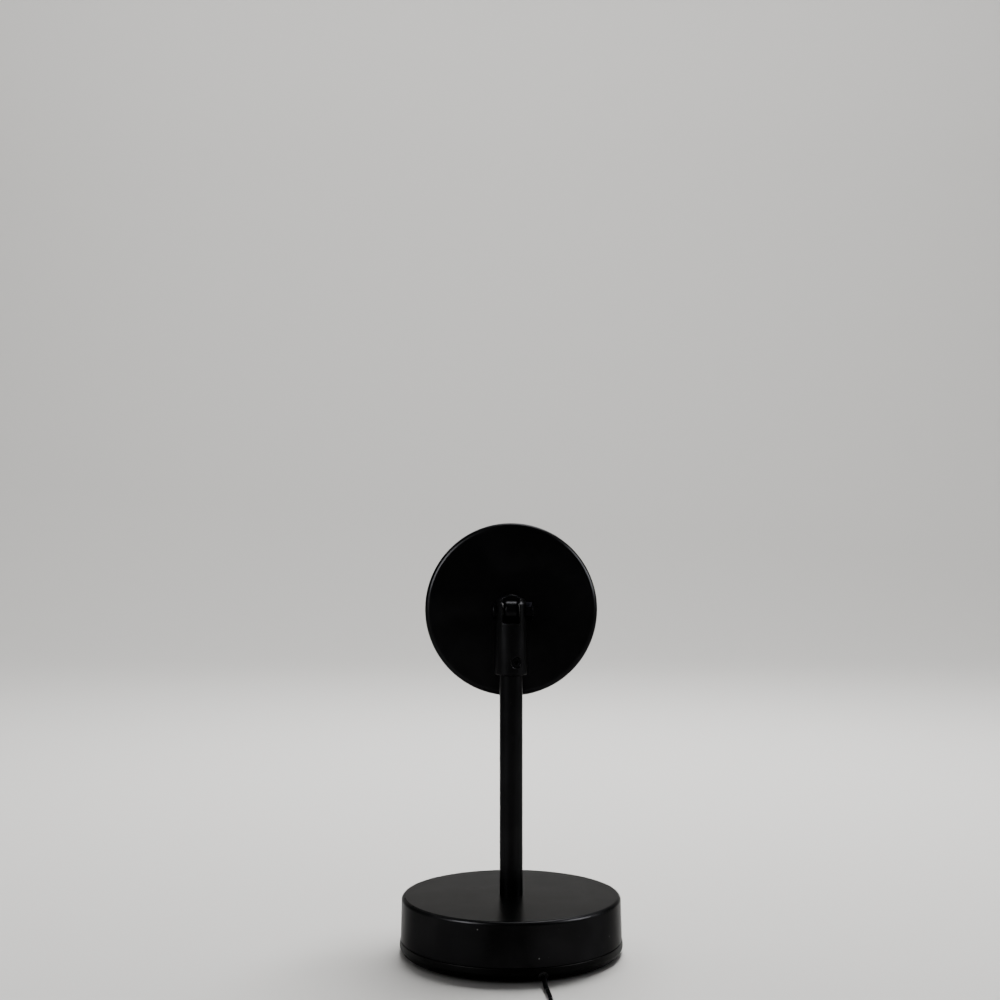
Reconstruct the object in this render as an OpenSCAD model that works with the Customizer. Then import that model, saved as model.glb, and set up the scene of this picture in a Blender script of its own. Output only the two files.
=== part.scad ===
// Sunset projection lamp: a round weighted base, a slim pole, a fork-and-tongue
// tilt joint and a drum head that throws a disc of warm light on a wall.
// The origin is on the pole's axis at the table, +Z is up, the head looks along
// +Y, and the cord leaves the base at the back, towards -Y.

/* [Base] */
// Diameter of the base cover at its lower edge
base_d = 95.2; // [85:0.1:130]
// Height of the base above the table
base_h = 24.2; // [20:0.1:40]
// Height of the seam between the cover and the bottom plate
seam_h = 6.4; // [5.6:0.1:8]
// How much the cover's wall draws in towards the top, on the radius
cover_draft = 0.4; // [0:0.1:2]
// Sheet thickness of the cover
cover_wall = 1; // [0.8:0.1:1.6]
// Radius of the cover's upper edge
shoulder_r = 1.6; // [1:0.1:4]
// How far the bottom plate stands out past the cover, on the radius
plate_flare = 0.4; // [0.2:0.1:1.5]
// Thickness of the bottom plate's floor
plate_floor = 1.6; // [1.2:0.1:2.5]
// Radius of the bottom plate's lower edge
plate_edge_r = 3.4; // [2:0.1:3.6]
// Width of the flat face under the bottom plate's rim
foot_w = 1.8; // [1.4:0.1:3]
// Thickness of the rubber pad under the base
pad_t = 1.2; // [1:0.1:2]
// How far the pad stands out below the plate
pad_proud = 0.6; // [0.4:0.1:0.8]
// Height of the iron weight's underside
weight_low = 9; // [8.8:0.1:12]
// Distance of the three plate screws from the axis
plate_screw_r = 32; // [24:0.5:36]

/* [Pole] */
// Outer diameter of the pole
pole_d = 10; // [8.6:0.1:14]
// Outer diameter of the threaded tube that holds the pole down
stud_d = 8; // [7:0.1:8]
// Bore of the threaded tube
stud_bore = 5; // [4:0.1:5.2]
// How far the threaded tube reaches up into the pole
stud_grip = 20; // [12:1:40]
// Height of the hinge axis above the table
hinge_h = 146; // [120:1:260]

/* [Tilt joint] */
// Wall of the sleeve round the pole, which its fork is as wide as
fork_wall = 2; // [1.8:0.1:4]
// Length of the sleeve below the hinge axis
sleeve_l = 27.4; // [22:0.1:40]
// Width of the slot between the ears
slot_w = 7.5; // [5:0.1:8]
// Depth of the slot below the hinge axis
slot_depth = 5.2; // [5:0.1:7]
// Height of the ears above the hinge axis
ear_h = 5.8; // [4.5:0.1:6.5]
// Radius of the ears' rounded outer edge
ear_edge_r = 3; // [1:0.1:3]
// Radius of the tongue's round end
tongue_r = 4.5; // [3.8:0.1:4.7]
// Radius of the tongue's rounded edges
tongue_edge_r = 1.5; // [0.5:0.1:1.6]
// Diameter of the hinge screw
hinge_d = 4; // [3:0.1:4.5]
// Thickness of the friction washers beside the tongue
friction_t = 0.4; // [0.3:0.1:0.8]
// Room between the fork and the tongue's round shoulder
shoulder_air = 2; // [1.8:0.1:4]

/* [Head] */
// Diameter of the drum head
head_d = 78; // [74:0.5:110]
// Distance from the hinge axis to the head's back face
head_back = 21; // [18:0.5:30]
// Depth of the head shell
shell_depth = 38; // [36:0.5:60]
// Wall thickness of the head shell
shell_wall = 1.2; // [1:0.1:2]
// Thickness of the head shell's back
back_t = 1.5; // [1.2:0.1:3]
// Radius of the head's rear edge
rear_edge_r = 2.5; // [1.6:0.1:6]
// Length of the posts behind the heat sink
post_l = 13.5; // [13:0.1:16]
// Number of fins on the heat sink
fin_count = 9; // [3:3:15]

/* [Optics] */
// Diameter of the projection lens's flange
lens_d = 52; // [40:0.1:54]
// Width of the flange round the lens's domed part
lens_flange = 2; // [1.6:0.1:3]
// Height of the lens's dome
dome_h = 10; // [6:0.5:14]
// Thickness of the lens's flange
lens_edge = 3; // [2:0.1:4]
// Thickness of the colour filter
filter_t = 1.1; // [0.5:0.1:1.4]
// Wall of the barrel that holds the optics
barrel_wall = 1.6; // [1.2:0.1:1.7]
// Depth of the shallow dish in the front ring
dish_depth = 3.5; // [2:0.1:3.8]

/* [Cord] */
// Diameter of the cord
cord_d = 2; // [1.6:0.1:2.4]
// Angle of the cord's exit from straight back, towards +X
exit_angle = 15.4; // [0:0.1:45]
// Radius of the coil's outermost turns
coil_out_r = 17.3; // [16:0.1:24]
// Air between neighbouring turns and layers of the coil
coil_air = 0.45; // [0.45:0.01:0.6]
// Width of the tie round the coil
tie_w = 4; // [3:0.5:5]
// Thickness of the tie
tie_t = 0.5; // [0.3:0.1:0.8]

/* [Switch] */
// Length of the switch body
switch_l = 34; // [28:1:34]
// Width of the switch body
switch_w = 15; // [13:0.5:20]
// Height of the switch body
switch_h = 11; // [10:0.5:11]
// Half the length of the rocker, measured from its pivot
rocker_r = 7; // [5:0.1:9]
// Width of the rocker
rocker_w = 8; // [6:0.1:9]
// Angle of the rocker on either side of level
rocker_tilt = 8; // [4:1:10]

/* [Plug] */
// Width of the plug's metal shell
shell_w = 12; // [12:0.1:12.1]
// Height of the plug's metal shell
shell_h = 4.5; // [4.5:0.1:4.6]
// Length of the plug's metal shell
shell_l = 12; // [11:0.1:13]
// Length of the plug's moulded grip
grip_l = 20; // [16:1:22]
// Width of the plug's moulded grip
grip_w = 15.6; // [14:0.1:18]
// Height of the plug's moulded grip
grip_h = 7.6; // [7:0.1:8.4]

/* [Clearances] */
// Radial clearance of parts that slide together and stay put
slip = 0.05; // [0.02:0.01:0.1]
// Radial clearance of the hinge screw in the tongue
run = 0.05; // [0.03:0.01:0.1]
// Air between pieces that only pass each other
air = 0.3; // [0.2:0.05:0.5]

/* [Hidden] */
$fn = 96;

black_paint = [0.07, 0.07, 0.075];
black_plastic = [0.1, 0.1, 0.105];
black_rubber = [0.14, 0.14, 0.14];
steel = [0.72, 0.73, 0.75];
iron = [0.35, 0.34, 0.34];
aluminium = [0.8, 0.81, 0.83];
brass = [0.82, 0.66, 0.32];
circuit_green = [0.1, 0.36, 0.2];
clear_glass = [0.86, 0.92, 0.95];
amber = [1, 0.5, 0.1];
phosphor = [0.98, 0.85, 0.35];

// Base, worked out
plate_low = pad_proud;
pad_top = pad_t;
floor_top = pad_top + plate_floor;
rim_r = base_d / 2 + plate_flare;
rim_in_r = rim_r - plate_edge_r - foot_w;
lip_out_r = base_d / 2 - cover_wall - air;
lip_t = 1.6;
lip_h = 2.2;
seam_groove = 0.5;
weight_top = base_h - cover_wall;
weight_r = lip_out_r - cover_draft - 0.8;
stud_low = weight_low - 1;
nut_h = 5;
nut_af = 13;
washer_t = 1.2;
washer_d = 20;
nut_pocket_h = nut_h + washer_t + 0.8;
nut_pocket_d = 26;
plate_screw_d = 3;
plate_screw_head_d = 5.6;
plate_screw_head_h = 1.6;
plate_boss_d = 7.5;
head_room = 0.4;
pad_inset = 1.2;
channel_end = 16.2;
channel_l = 13.5;
channel_w = 1.3 * cord_d;
exit_dir = [sin(exit_angle), -cos(exit_angle), 0];
exit_h = pad_t + cord_d / 2 + 0.2;
bush_d = 2.2 * cord_d;
bush_in_r = rim_in_r - 0.8;
bush_proud = 0.3;
clamp_at = 24;
clamp_half = cord_d + 2;
clamp_t = 1.2;
clamp_w = 4.6;
clamp_post_d = 3.8;
cable_z = floor_top + cord_d / 2 + 0.1;
slant_room = 0.4;
cable_rise = stud_low - cable_z;
cable_side = (stud_bore - cord_d) / 2 - air - slant_room;
cable_bend = cable_side + cable_rise + sqrt(2 * cable_side * cable_rise);

// Pole and joint, worked out
fork_d = pole_d + 2 * fork_wall;
shoulder_gap = fork_d / 2 + shoulder_air;
sleeve_low = hinge_h - sleeve_l;
slot_low = hinge_h - slot_depth;
pole_top = slot_low - 2.2;
wire_hole_d = 3.2;
grub_d = 4;
grub_angle = 20;
grub_h = sleeve_low + 5.4;
grub_mouth_h = 0.7;
grub_sunk = 0.5;
grub_socket_d = 2.3;
grub_socket_low = 1.4;
sleeve_edge_r = 0.4;
hinge_seat = fork_d / 2 - 1;
slot_edge_r = 0.8;
hinge_head_d = 7;
hinge_head_h = 2.2;
hinge_nut_af = 7;
hinge_nut_h = 3.2;
thread_show = 0.6;
tongue_t = slot_w - 2 * friction_t - 0.2;
friction_r = tongue_r - tongue_edge_r + 0.4;
neck_half = tongue_r - 0.8;
tongue_stud_d = 10;
tongue_stud_l = 9;
tongue_bore = 4.2;
tongue_nut_af = 14;
tongue_nut_h = 4;
tongue_washer_d = 18;
tongue_washer_t = 1;
tongue_bore_from = 4;
tongue_side_bore = 2.2;
side_bore_lean = 131;
side_bore_l = 9;

// Head and optics, worked out: distances run forward from the hinge axis
head_r = head_d / 2;
shell_in_r = head_r - shell_wall;
back_in = head_back + back_t;
shell_front = head_back + shell_depth;
post_d = 6;
post_thread_low = 3;
small_screw_d = 2;
small_head_d = 3.6;
small_head_h = 1.2;
sink_back = back_in + post_l;
sink_t = 3;
sink_front = sink_back + sink_t;
fin_h = 5;
fin_w = 1.4;
fin_in_r = 15;
fin_edge = 2;
board_t = 1.2;
driver_lift = 3.5;
driver_post_d = 4;
driver_ring_r = 19;
driver_half = 9.5;
driver_angle = 150;
driver_size = [14, 25];
driver_pad_r = driver_ring_r + 5.2;
inductor_d = 6;
inductor_h = 3;
head_wire_d = 1.6;
led_board_d = 30;
led_board_t = 1.6;
led_screw_r = 11.5;
led_front = sink_front + led_board_t;
led_size = 8;
led_body_h = 1;
led_dome_d = 6;
led_dome_h = 1.6;
wire_d = 1.2;
wire_hole_in_sink_d = 4.4;
condenser_r = 8.4;
condenser_seat = 3.4;
condenser_edge = 1.6;
condenser_dome_h = 3.4;
condenser_holder_r = 9.6;
condenser_holder_h = 7;
dome_d = lens_d - 2 * lens_flange;
lens_back = shell_front - 7;
lens_front = lens_back + lens_edge;
barrel_in_r = lens_d / 2 + 0.2;
barrel_out_r = barrel_in_r + barrel_wall;
barrel_foot_t = 2;
barrel_foot_w = 6.8;
filter_seat_w = 2;
filter_seat_t = 1.5;
post_ring_r = (barrel_out_r + shell_in_r) / 2 - 1;
led_wire_r = barrel_in_r - 2;
filter_lip = 0.6;
gasket_t = 0.8;
ring_low = lens_front + gasket_t;
ring_lip_t = 1.5;
ring_front = ring_low + ring_lip_t + dish_depth;
spigot_l = 6;
spigot_t = 1.6;
ring_rim_w = 2;
ring_edge_r = 0.8;
screw_d = 3;

// Cord, worked out: its route lies on the table behind the base
coil_turns = 17.5;
coil_layers = 4;
layer_turns = coil_turns / coil_layers;
coil_pitch = cord_d + coil_air;
coil_in_r = coil_out_r - layer_turns * coil_pitch;
exit_at = exit_dir * rim_r;
coil_x = exit_at.x - 38.75;
coil_north_y = exit_at.y - 57.12;
coil_y = coil_north_y - coil_out_r;
table_z = cord_d / 2 + 0.02;
coil_top_z = table_z + (coil_layers - 1) * coil_pitch;
rings_per_turn = 24;
tie_angle = 180;
tie_lift = tie_t + 0.1;
switch_x = coil_x + 38;
switch_y = coil_y - coil_out_r;
neck_l = 4;
neck_d = 5.4;
neck_end_d = 4;
inlet_x = switch_x - switch_l / 2 - neck_l;
outlet_x = switch_x + switch_l / 2 + neck_l;
switch_wall = 1.4;
switch_corner_r = 3;
switch_post_r = 2.2;
switch_post_x = switch_l / 2 - 4.2;
switch_head_seat = 1.6;
pivot_h = switch_h - 3.4;
pivot_d = 2;
plug_back_x = outlet_x;
plug_y = switch_y + 20;
plug_z = grip_h / 2;
boot_l = 4;
shell_seat = 3;
shell_t = 0.35;
shell_edge_r = 0.6;
tongue_plate_t = 1.9;

// Points that the cord passes, chosen by hand: the lead's are measured from where
// it leaves the base, and the others from the switch's two ends
switch_z = switch_h / 2;
tail_drop = coil_top_z - switch_z;
lead_route = [
    exit_at + [0, 0, exit_h],
    exit_at + exit_dir * 2 + [0, 0, exit_h],
    exit_at + [0.55, -5.1, table_z + 0.68],
    exit_at + [0.8, -8, table_z + 0.16],
    exit_at + [1.2, -11.4, table_z],
    exit_at + [2.1, -20, table_z],
    exit_at + [2.4, -29, table_z],
    exit_at + [1.1, -38, table_z],
    exit_at + [-3.1, -46.6, table_z],
    exit_at + [-10.4, -52.9, table_z],
    exit_at + [-19.2, -56.3, table_z],
    exit_at + [-29, -57.12, table_z],
    [coil_x + cord_d, coil_north_y, table_z]
];
tail_route = [
    [coil_x + cord_d, switch_y, coil_top_z],
    [inlet_x - 12, switch_y, switch_z + 0.98 * tail_drop],
    [inlet_x - 8.5, switch_y, switch_z + 0.7 * tail_drop],
    [inlet_x - 5.5, switch_y, switch_z + 0.28 * tail_drop],
    [inlet_x - 2.5, switch_y, switch_z + 0.04 * tail_drop],
    [inlet_x, switch_y, switch_z]
];
end_route = [
    [outlet_x, switch_y, switch_z],
    [outlet_x + 3, switch_y + 0.2, switch_z - 0.3],
    [outlet_x + 8, switch_y + 2.4, table_z + 2],
    [outlet_x + 11.4, switch_y + 6.6, table_z + 0.3],
    [outlet_x + 12, switch_y + 11.4, table_z],
    [outlet_x + 10, plug_y - 3.8, table_z + 1],
    [outlet_x + 6, plug_y - 0.8, plug_z - 0.4],
    [outlet_x + 3, plug_y, plug_z],
    [plug_back_x, plug_y, plug_z]
];

// ---- Helpers -------------------------------------------------------------

// Everything outside a quarter circle, to round a convex corner
module corner(r) {
    difference() {
        square(r + 0.5);
        circle(r);
    }
}

// Puts a shape that is drawn along +Z on the head's axis, with Z running forward
module head_axis(at = 0) {
    translate([0, 0, hinge_h]) rotate([-90, 0, 0]) translate([0, 0, at]) children();
}

// Puts a shape that is drawn along +Z on the hinge axis, with Z running to +X
module hinge_axis(at = 0) {
    translate([at, 0, hinge_h]) rotate([0, 90, 0]) children();
}

// Turns a shape that is drawn towards +X to the side where the cord leaves
module exit_side() {
    rotate([0, 0, exit_angle - 90]) children();
}

// Copies a shape round the axis
module around(count, r, first = 0) {
    for (i = [0 : count - 1]) rotate([0, 0, first + i * 360 / count]) translate([r, 0, 0]) children();
}

module tube(d_out, d_in, h) {
    difference() {
        cylinder(d = d_out, h = h);
        translate([0, 0, -1]) cylinder(d = d_in, h = h + 2);
    }
}

// Bar along +Z with rounded long edges
module rounded_bar(w, h, l, r) {
    linear_extrude(l) {
        square([w - 2 * r, h], center = true);
        square([w, h - 2 * r], center = true);
        for (x = [-1, 1], y = [-1, 1]) translate([x * (w / 2 - r), y * (h / 2 - r)]) circle(r);
    }
}

// Hexagon nut, given by its width across the flats
module nut(flats, bore, h) {
    difference() {
        cylinder(d = flats / cos(30), h = h, $fn = 6);
        translate([0, 0, -1]) cylinder(d = bore, h = h + 2);
    }
}

// Screw with its head above Z = 0, its shank below, and a hexagon socket
module screw(d, l, head_d, head_h, socket = 0.5) {
    edge = head_h * 0.4;
    difference() {
        rotate_extrude() difference() {
            union() {
                square([head_d / 2, head_h]);
                translate([0, -l]) square([d / 2, l + 0.1]);
            }
            translate([head_d / 2 - edge, head_h - edge]) corner(edge);
        }
        translate([0, 0, head_h * (1 - socket)])
            cylinder(d = head_d * 0.5, h = head_h, $fn = 6);
    }
}

module small_screw(l) {
    screw(small_screw_d, l, small_head_d, small_head_h);
}

// Dome of a given base and height on Z = 0
module dome(d, h) {
    ball_r = (pow(d / 2, 2) + h * h) / (2 * h);
    rotate_extrude() intersection() {
        translate([0, h - ball_r]) circle(ball_r);
        square([d / 2, h]);
    }
}

function unit(v) = v / norm(v);

// Smooth curve through a list of points, with a few steps between each two
function smooth(p, steps) = [
    for (i = [0 : len(p) - 2], k = [0 : steps - 1])
        let (a = p[max(i - 1, 0)], b = p[i], c = p[i + 1], e = p[min(i + 2, len(p) - 1)], t = k / steps)
            b + (c - a) * t / 2 + (2 * a - 5 * b + 4 * c - e) * t * t / 2
                + (3 * b - a - 3 * c + e) * t * t * t / 2,
    p[len(p) - 1]
];

function heading(p, i) = unit(p[min(i + 1, len(p) - 1)] - p[max(i - 1, 0)]);

// Corners of the tube's cross-section at one point of its route
function section(at, h, r, sides, level) =
    let (side = unit(cross(h, level)), top = cross(side, h))
        [for (k = [0 : sides - 1]) at + r * (cos(360 * k / sides) * side + sin(360 * k / sides) * top)];

// Tube along a route. Its two ends are square to the given directions
module swept_tube(p, d, sides, start, end, level = [0, 0, 1]) {
    last = len(p) - 1;
    corners = [
        for (i = [0 : last])
            each section(p[i], i == 0 ? start : i == last ? end : heading(p, i), d / 2, sides, level)
    ];
    walls = [
        for (i = [0 : last - 1], k = [0 : sides - 1])
            let (a = i * sides + k, b = i * sides + (k + 1) % sides)
                each [[a, b, b + sides], [a, b + sides, a + sides]]
    ];
    first_cap = [for (k = [1 : sides - 2]) [0, k + 1, k]];
    last_cap = [for (k = [1 : sides - 2]) [last * sides, last * sides + k, last * sides + k + 1]];
    polyhedron(corners, concat(walls, first_cap, last_cap));
}

// ---- Base ----------------------------------------------------------------

// Half section of the cover's outside, or of its inside with the sheet taken off
module cover_outline(low, sheet = 0) {
    foot_r = base_d / 2 - sheet;
    top_r = foot_r - cover_draft;
    edge_r = shoulder_r - sheet / 2;
    edge_z = base_h - sheet - edge_r;
    polygon([[0, low], [foot_r, low], [foot_r, seam_h], [top_r, edge_z], [0, edge_z]]);
    translate([0, edge_z]) square([top_r - edge_r, edge_r]);
    translate([top_r - edge_r, edge_z]) intersection() {
        circle(edge_r);
        square(edge_r);
    }
}

module base_cover() {
    color(black_paint) difference() {
        rotate_extrude() difference() {
            cover_outline(seam_h);
            cover_outline(seam_h - 1, cover_wall);
        }
        cylinder(d = stud_d + 2 * slip, h = base_h + 1);
    }
}

module base_weight() {
    color(iron) difference() {
        translate([0, 0, weight_low]) rotate_extrude() polygon([
            [stud_d / 2 + air, 0], [weight_r, 0], [weight_r, weight_top - weight_low - shoulder_r],
            [weight_r - shoulder_r, weight_top - weight_low], [stud_d / 2 + air, weight_top - weight_low]
        ]);
        translate([0, 0, weight_low - 1]) cylinder(d = nut_pocket_d, h = nut_pocket_h + 1);
        around(3, plate_screw_r, 30) translate([0, 0, weight_low - 1])
            cylinder(d = plate_screw_d + 2 * slip, h = 8);
    }
}

// What the bottom plate's rounded lower edge leaves out
module under_edge(proud = 0) {
    translate([rim_r + proud - plate_edge_r, plate_low + plate_edge_r]) mirror([0, 1]) corner(plate_edge_r);
}

module base_plate() {
    color(black_plastic) difference() {
        union() {
            rotate_extrude() difference() {
                union() {
                    translate([0, pad_top]) square([rim_in_r + 1, plate_floor]);
                    polygon([
                        [rim_in_r, plate_low], [rim_r, plate_low], [rim_r, plate_low + plate_edge_r],
                        [base_d / 2 + plate_flare / 3, seam_h - seam_groove],
                        [base_d / 2 - cover_wall / 2, seam_h], [rim_in_r, seam_h]
                    ]);
                    translate([lip_out_r - lip_t, seam_h - 1]) square([lip_t, lip_h + 1]);
                }
                under_edge();
            }
            around(3, plate_screw_r, 30) translate([0, 0, pad_top])
                cylinder(d = plate_boss_d, h = weight_low - pad_top);
            exit_side() for (side = [-1, 1]) translate([clamp_at, side * clamp_half, pad_top])
                cylinder(d = clamp_post_d, h = cable_z + cord_d / 2 - pad_top);
        }
        around(3, plate_screw_r, 30) {
            cylinder(d = plate_screw_d + 2 * slip, h = weight_low + 1);
            translate([0, 0, pad_top - 1]) cylinder(d = plate_screw_head_d + head_room, h = 3);
        }
        exit_side() {
            translate([rim_r - channel_end, -channel_w / 2, pad_top - 1])
                cube([channel_l, channel_w, plate_floor + 2]);
            grommet_outline(bush_in_r, rim_r + 2, plate_low - 1);
            for (side = [-1, 1]) translate([clamp_at, side * clamp_half, pad_top + 0.4])
                cylinder(d = small_screw_d, h = 10);
        }
    }
}

// Notch in the rim, round above and open below, or the bush that fills it
module grommet_outline(from, to, low, fit = 0) {
    w = bush_d - 2 * fit;
    translate([from, 0, exit_h]) rotate([0, 90, 0]) cylinder(d = w, h = to - from);
    translate([from, -w / 2, low]) cube([to - from, w, exit_h - low]);
}

module base_pad() {
    color(black_rubber) cylinder(r = rim_in_r - pad_inset, h = pad_t);
}

module plate_screws() {
    color(steel) around(3, plate_screw_r, 30) translate([0, 0, pad_top + 2]) mirror([0, 0, 1])
        screw(plate_screw_d, weight_low + 3, plate_screw_head_d, plate_screw_head_h);
}

module cord_grommet() {
    color(black_rubber) exit_side() difference() {
        grommet_outline(bush_in_r, rim_r + bush_proud, plate_low, slip);
        translate([bush_in_r - 1, 0, exit_h]) rotate([0, 90, 0])
            cylinder(d = cord_d + 2 * slip, h = rim_r - bush_in_r + 4);
        rotate_extrude() under_edge(bush_proud);
    }
}

module cord_clamp() {
    color(steel) exit_side() difference() {
        translate([clamp_at, 0, cable_z + cord_d / 2]) linear_extrude(clamp_t) {
            square([clamp_w, 2 * clamp_half], center = true);
            for (side = [-1, 1]) translate([0, side * clamp_half]) circle(clamp_w / 2);
        }
        for (side = [-1, 1]) translate([clamp_at, side * clamp_half, cable_z])
            cylinder(d = small_screw_d + 2 * slip, h = 5);
    }
}

module clamp_screws() {
    color(steel) exit_side() for (side = [-1, 1])
        translate([clamp_at, side * clamp_half, cable_z + cord_d / 2 + clamp_t]) small_screw(4);
}

// Cord inside the base and the pole, from the grommet up to the slot of the fork
module base_cable() {
    inner_route = concat(
        [for (back = [0, 3, 6]) [rim_r - back, 0, exit_h]],
        [[rim_r - 9.2, 0, exit_h + 0.4], [rim_r - 13.7, 0, cable_z - 0.3], [rim_r - 17.2, 0, cable_z]],
        [[20, 0, cable_z]],
        [for (a = [0 : 22.5 : 90]) [cable_bend * (1 - sin(a)), 0, cable_z + cable_bend * (1 - cos(a))]],
        [[0, 0, base_h], [0, 0, hinge_h / 2], [0, 0, slot_low]]
    );
    color(black_rubber) exit_side()
        swept_tube(inner_route, cord_d, 8, [-1, 0, 0], [0, 0, 1], [0, 1, 0]);
}

// ---- Pole ----------------------------------------------------------------

module pole() {
    color(black_paint) translate([0, 0, base_h]) tube(pole_d, stud_d + 2 * slip, pole_top - base_h);
}

module pole_stud() {
    color(steel) translate([0, 0, stud_low]) tube(stud_d, stud_bore, base_h + stud_grip - stud_low);
}

module stud_washer() {
    color(steel) translate([0, 0, weight_low + nut_pocket_h - washer_t])
        tube(washer_d, stud_d + 2 * slip, washer_t);
}

module stud_nut() {
    color(steel) translate([0, 0, weight_low + nut_pocket_h - washer_t - nut_h])
        nut(nut_af, stud_d + 2 * slip, nut_h);
}

// ---- Tilt joint ----------------------------------------------------------

module grub_place() {
    translate([0, 0, grub_h]) rotate([0, 0, grub_angle]) rotate([90, 0, 0]) children();
}

// Slot between the ears, drawn from behind, with rounded floor corners
module ear_slot() {
    translate([0, fork_d, slot_low]) rotate([90, 0, 0]) linear_extrude(2 * fork_d) difference() {
        translate([-slot_w / 2, 0]) square([slot_w, slot_depth + ear_h + 1]);
        for (side = [0, 1]) mirror([side, 0]) translate([slot_w / 2 - slot_edge_r, slot_edge_r])
            mirror([0, 1]) corner(slot_edge_r);
    }
}

// Sleeve that the pole ends in, with the two ears of the hinge above it
module joint_fork() {
    top = hinge_h + ear_h;
    color(black_paint) difference() {
        rotate_extrude() difference() {
            translate([0, sleeve_low]) square([fork_d / 2, top - sleeve_low]);
            translate([fork_d / 2 - ear_edge_r, top - ear_edge_r]) corner(ear_edge_r);
            translate([fork_d / 2 - sleeve_edge_r, sleeve_low + sleeve_edge_r])
                mirror([0, 1]) corner(sleeve_edge_r);
        }
        translate([0, 0, sleeve_low - 1])
            cylinder(d = pole_d + 2 * slip, h = pole_top - sleeve_low + 1);
        translate([0, 0, sleeve_low]) cylinder(d = wire_hole_d, h = hinge_h - sleeve_low);
        ear_slot();
        hinge_axis(-fork_d) cylinder(d = hinge_d + 2 * slip, h = 2 * fork_d);
        for (side = [0, 1]) mirror([side, 0, 0])
            hinge_axis(hinge_seat) cylinder(d = hinge_head_d / cos(30) + head_room, h = fork_d);
        grub_place() {
            cylinder(d = grub_d + 2 * slip, h = fork_d);
            translate([0, 0, fork_d / 2 - grub_mouth_h]) cylinder(d1 = grub_d, d2 = grub_d + 2, h = 1);
        }
    }
}

module grub_screw() {
    color(steel) grub_place() difference() {
        translate([0, 0, pole_d / 2 + 0.02])
            cylinder(d = grub_d, h = fork_d / 2 - pole_d / 2 - grub_sunk);
        translate([0, 0, fork_d / 2 - grub_socket_low]) cylinder(d = grub_socket_d, h = 2, $fn = 6);
    }
}

module hinge_screw() {
    color(black_paint) hinge_axis(-hinge_seat) mirror([0, 0, 1])
        screw(hinge_d, 2 * hinge_seat + hinge_nut_h + thread_show, hinge_head_d, hinge_head_h);
}

module hinge_nut() {
    color(black_paint) hinge_axis(hinge_seat) nut(hinge_nut_af, hinge_d + 2 * slip, hinge_nut_h);
}

module friction_washers() {
    color(black_plastic) for (at = [-slot_w / 2, slot_w / 2 - friction_t])
        hinge_axis(at) tube(2 * friction_r, hinge_d + 2 * slip, friction_t);
}

module joint_tongue() {
    color(black_paint) difference() {
        union() {
            hinge_axis() rotate_extrude() difference() {
                translate([0, -tongue_t / 2]) square([tongue_r, tongue_t]);
                for (side = [0, 1]) mirror([0, side])
                    translate([tongue_r - tongue_edge_r, tongue_t / 2 - tongue_edge_r])
                        corner(tongue_edge_r);
            }
            head_axis() rounded_bar(tongue_t, 2 * neck_half, shoulder_gap + 1, tongue_edge_r);
            head_axis() rotate_extrude() difference() {
                union() {
                    translate([0, shoulder_gap]) square([fork_d / 2, head_back - shoulder_gap]);
                    square([tongue_stud_d / 2, head_back + tongue_stud_l]);
                }
                square([fork_d, shoulder_gap]);
                translate([fork_d / 2 - 1, shoulder_gap + 1]) mirror([0, 1]) corner(1);
            }
        }
        hinge_axis(-fork_d) cylinder(d = hinge_d + 2 * run, h = 2 * fork_d);
        head_axis(shoulder_gap + tongue_bore_from) cylinder(d = tongue_bore, h = head_back + tongue_stud_l);
        translate([0, shoulder_gap + tongue_bore_from + 1, hinge_h]) rotate([-side_bore_lean, 0, 0])
            cylinder(d = tongue_side_bore, h = side_bore_l);
    }
}

module tongue_washer() {
    color(steel) head_axis(back_in) tube(tongue_washer_d, tongue_stud_d + 2 * slip, tongue_washer_t);
}

module tongue_nut() {
    color(steel) head_axis(back_in + tongue_washer_t)
        nut(tongue_nut_af, tongue_stud_d + 2 * slip, tongue_nut_h);
}

// ---- Head ----------------------------------------------------------------

module head_posts(r, h) {
    around(3, post_ring_r, 90) cylinder(r = r, h = h);
}

module driver_place() {
    rotate([0, 0, driver_angle]) translate([driver_ring_r, 0, 0]) children();
}

module head_shell() {
    inner_edge = rear_edge_r - shell_wall;
    color(black_paint) head_axis() difference() {
        union() {
            rotate_extrude() difference() {
                translate([0, head_back]) square([head_r, shell_depth]);
                translate([head_r - rear_edge_r, head_back + rear_edge_r])
                    mirror([0, 1]) corner(rear_edge_r);
                difference() {
                    translate([0, back_in]) square([shell_in_r, shell_depth]);
                    translate([shell_in_r - inner_edge, back_in + inner_edge])
                        mirror([0, 1]) corner(inner_edge);
                }
            }
            translate([0, 0, back_in - 0.2]) head_posts(post_d / 2, post_l + 0.2);
            driver_place() for (side = [-1, 1])
                translate([0, side * driver_half, back_in - 0.2])
                    cylinder(d = driver_post_d, h = driver_lift + 0.2);
        }
        cylinder(d = tongue_stud_d + 2 * slip, h = shell_front);
        translate([0, 0, back_in + post_thread_low]) head_posts(screw_d / 2 + slip, post_l);
        driver_place() for (side = [-1, 1])
            translate([0, side * driver_half, back_in + 0.5])
                cylinder(d = small_screw_d + 2 * slip, h = driver_lift);
    }
}

module driver_board() {
    color(circuit_green) head_axis(back_in + driver_lift) driver_place() difference() {
        translate(-driver_size / 2) cube([driver_size.x, driver_size.y, board_t]);
        for (side = [-1, 1]) translate([0, side * driver_half, -1])
            cylinder(d = small_screw_d + 2 * slip, h = 4);
    }
}

// Inductor, controller and two capacitors on the driver board
module driver_parts() {
    head_axis(back_in + driver_lift + board_t) driver_place() {
        controller = [5, 4, 1.5];
        capacitor = [1.2, 2.4, 1.1];
        color(iron) translate([1, 2.6, 0]) cylinder(d = inductor_d, h = inductor_h);
        color(black_plastic) translate([-1.5, -5.2, 0]) cube(controller);
        color(brass) for (x = [-5.8, -3.8]) translate([x, 1, 0]) cube(capacitor);
    }
}

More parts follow.
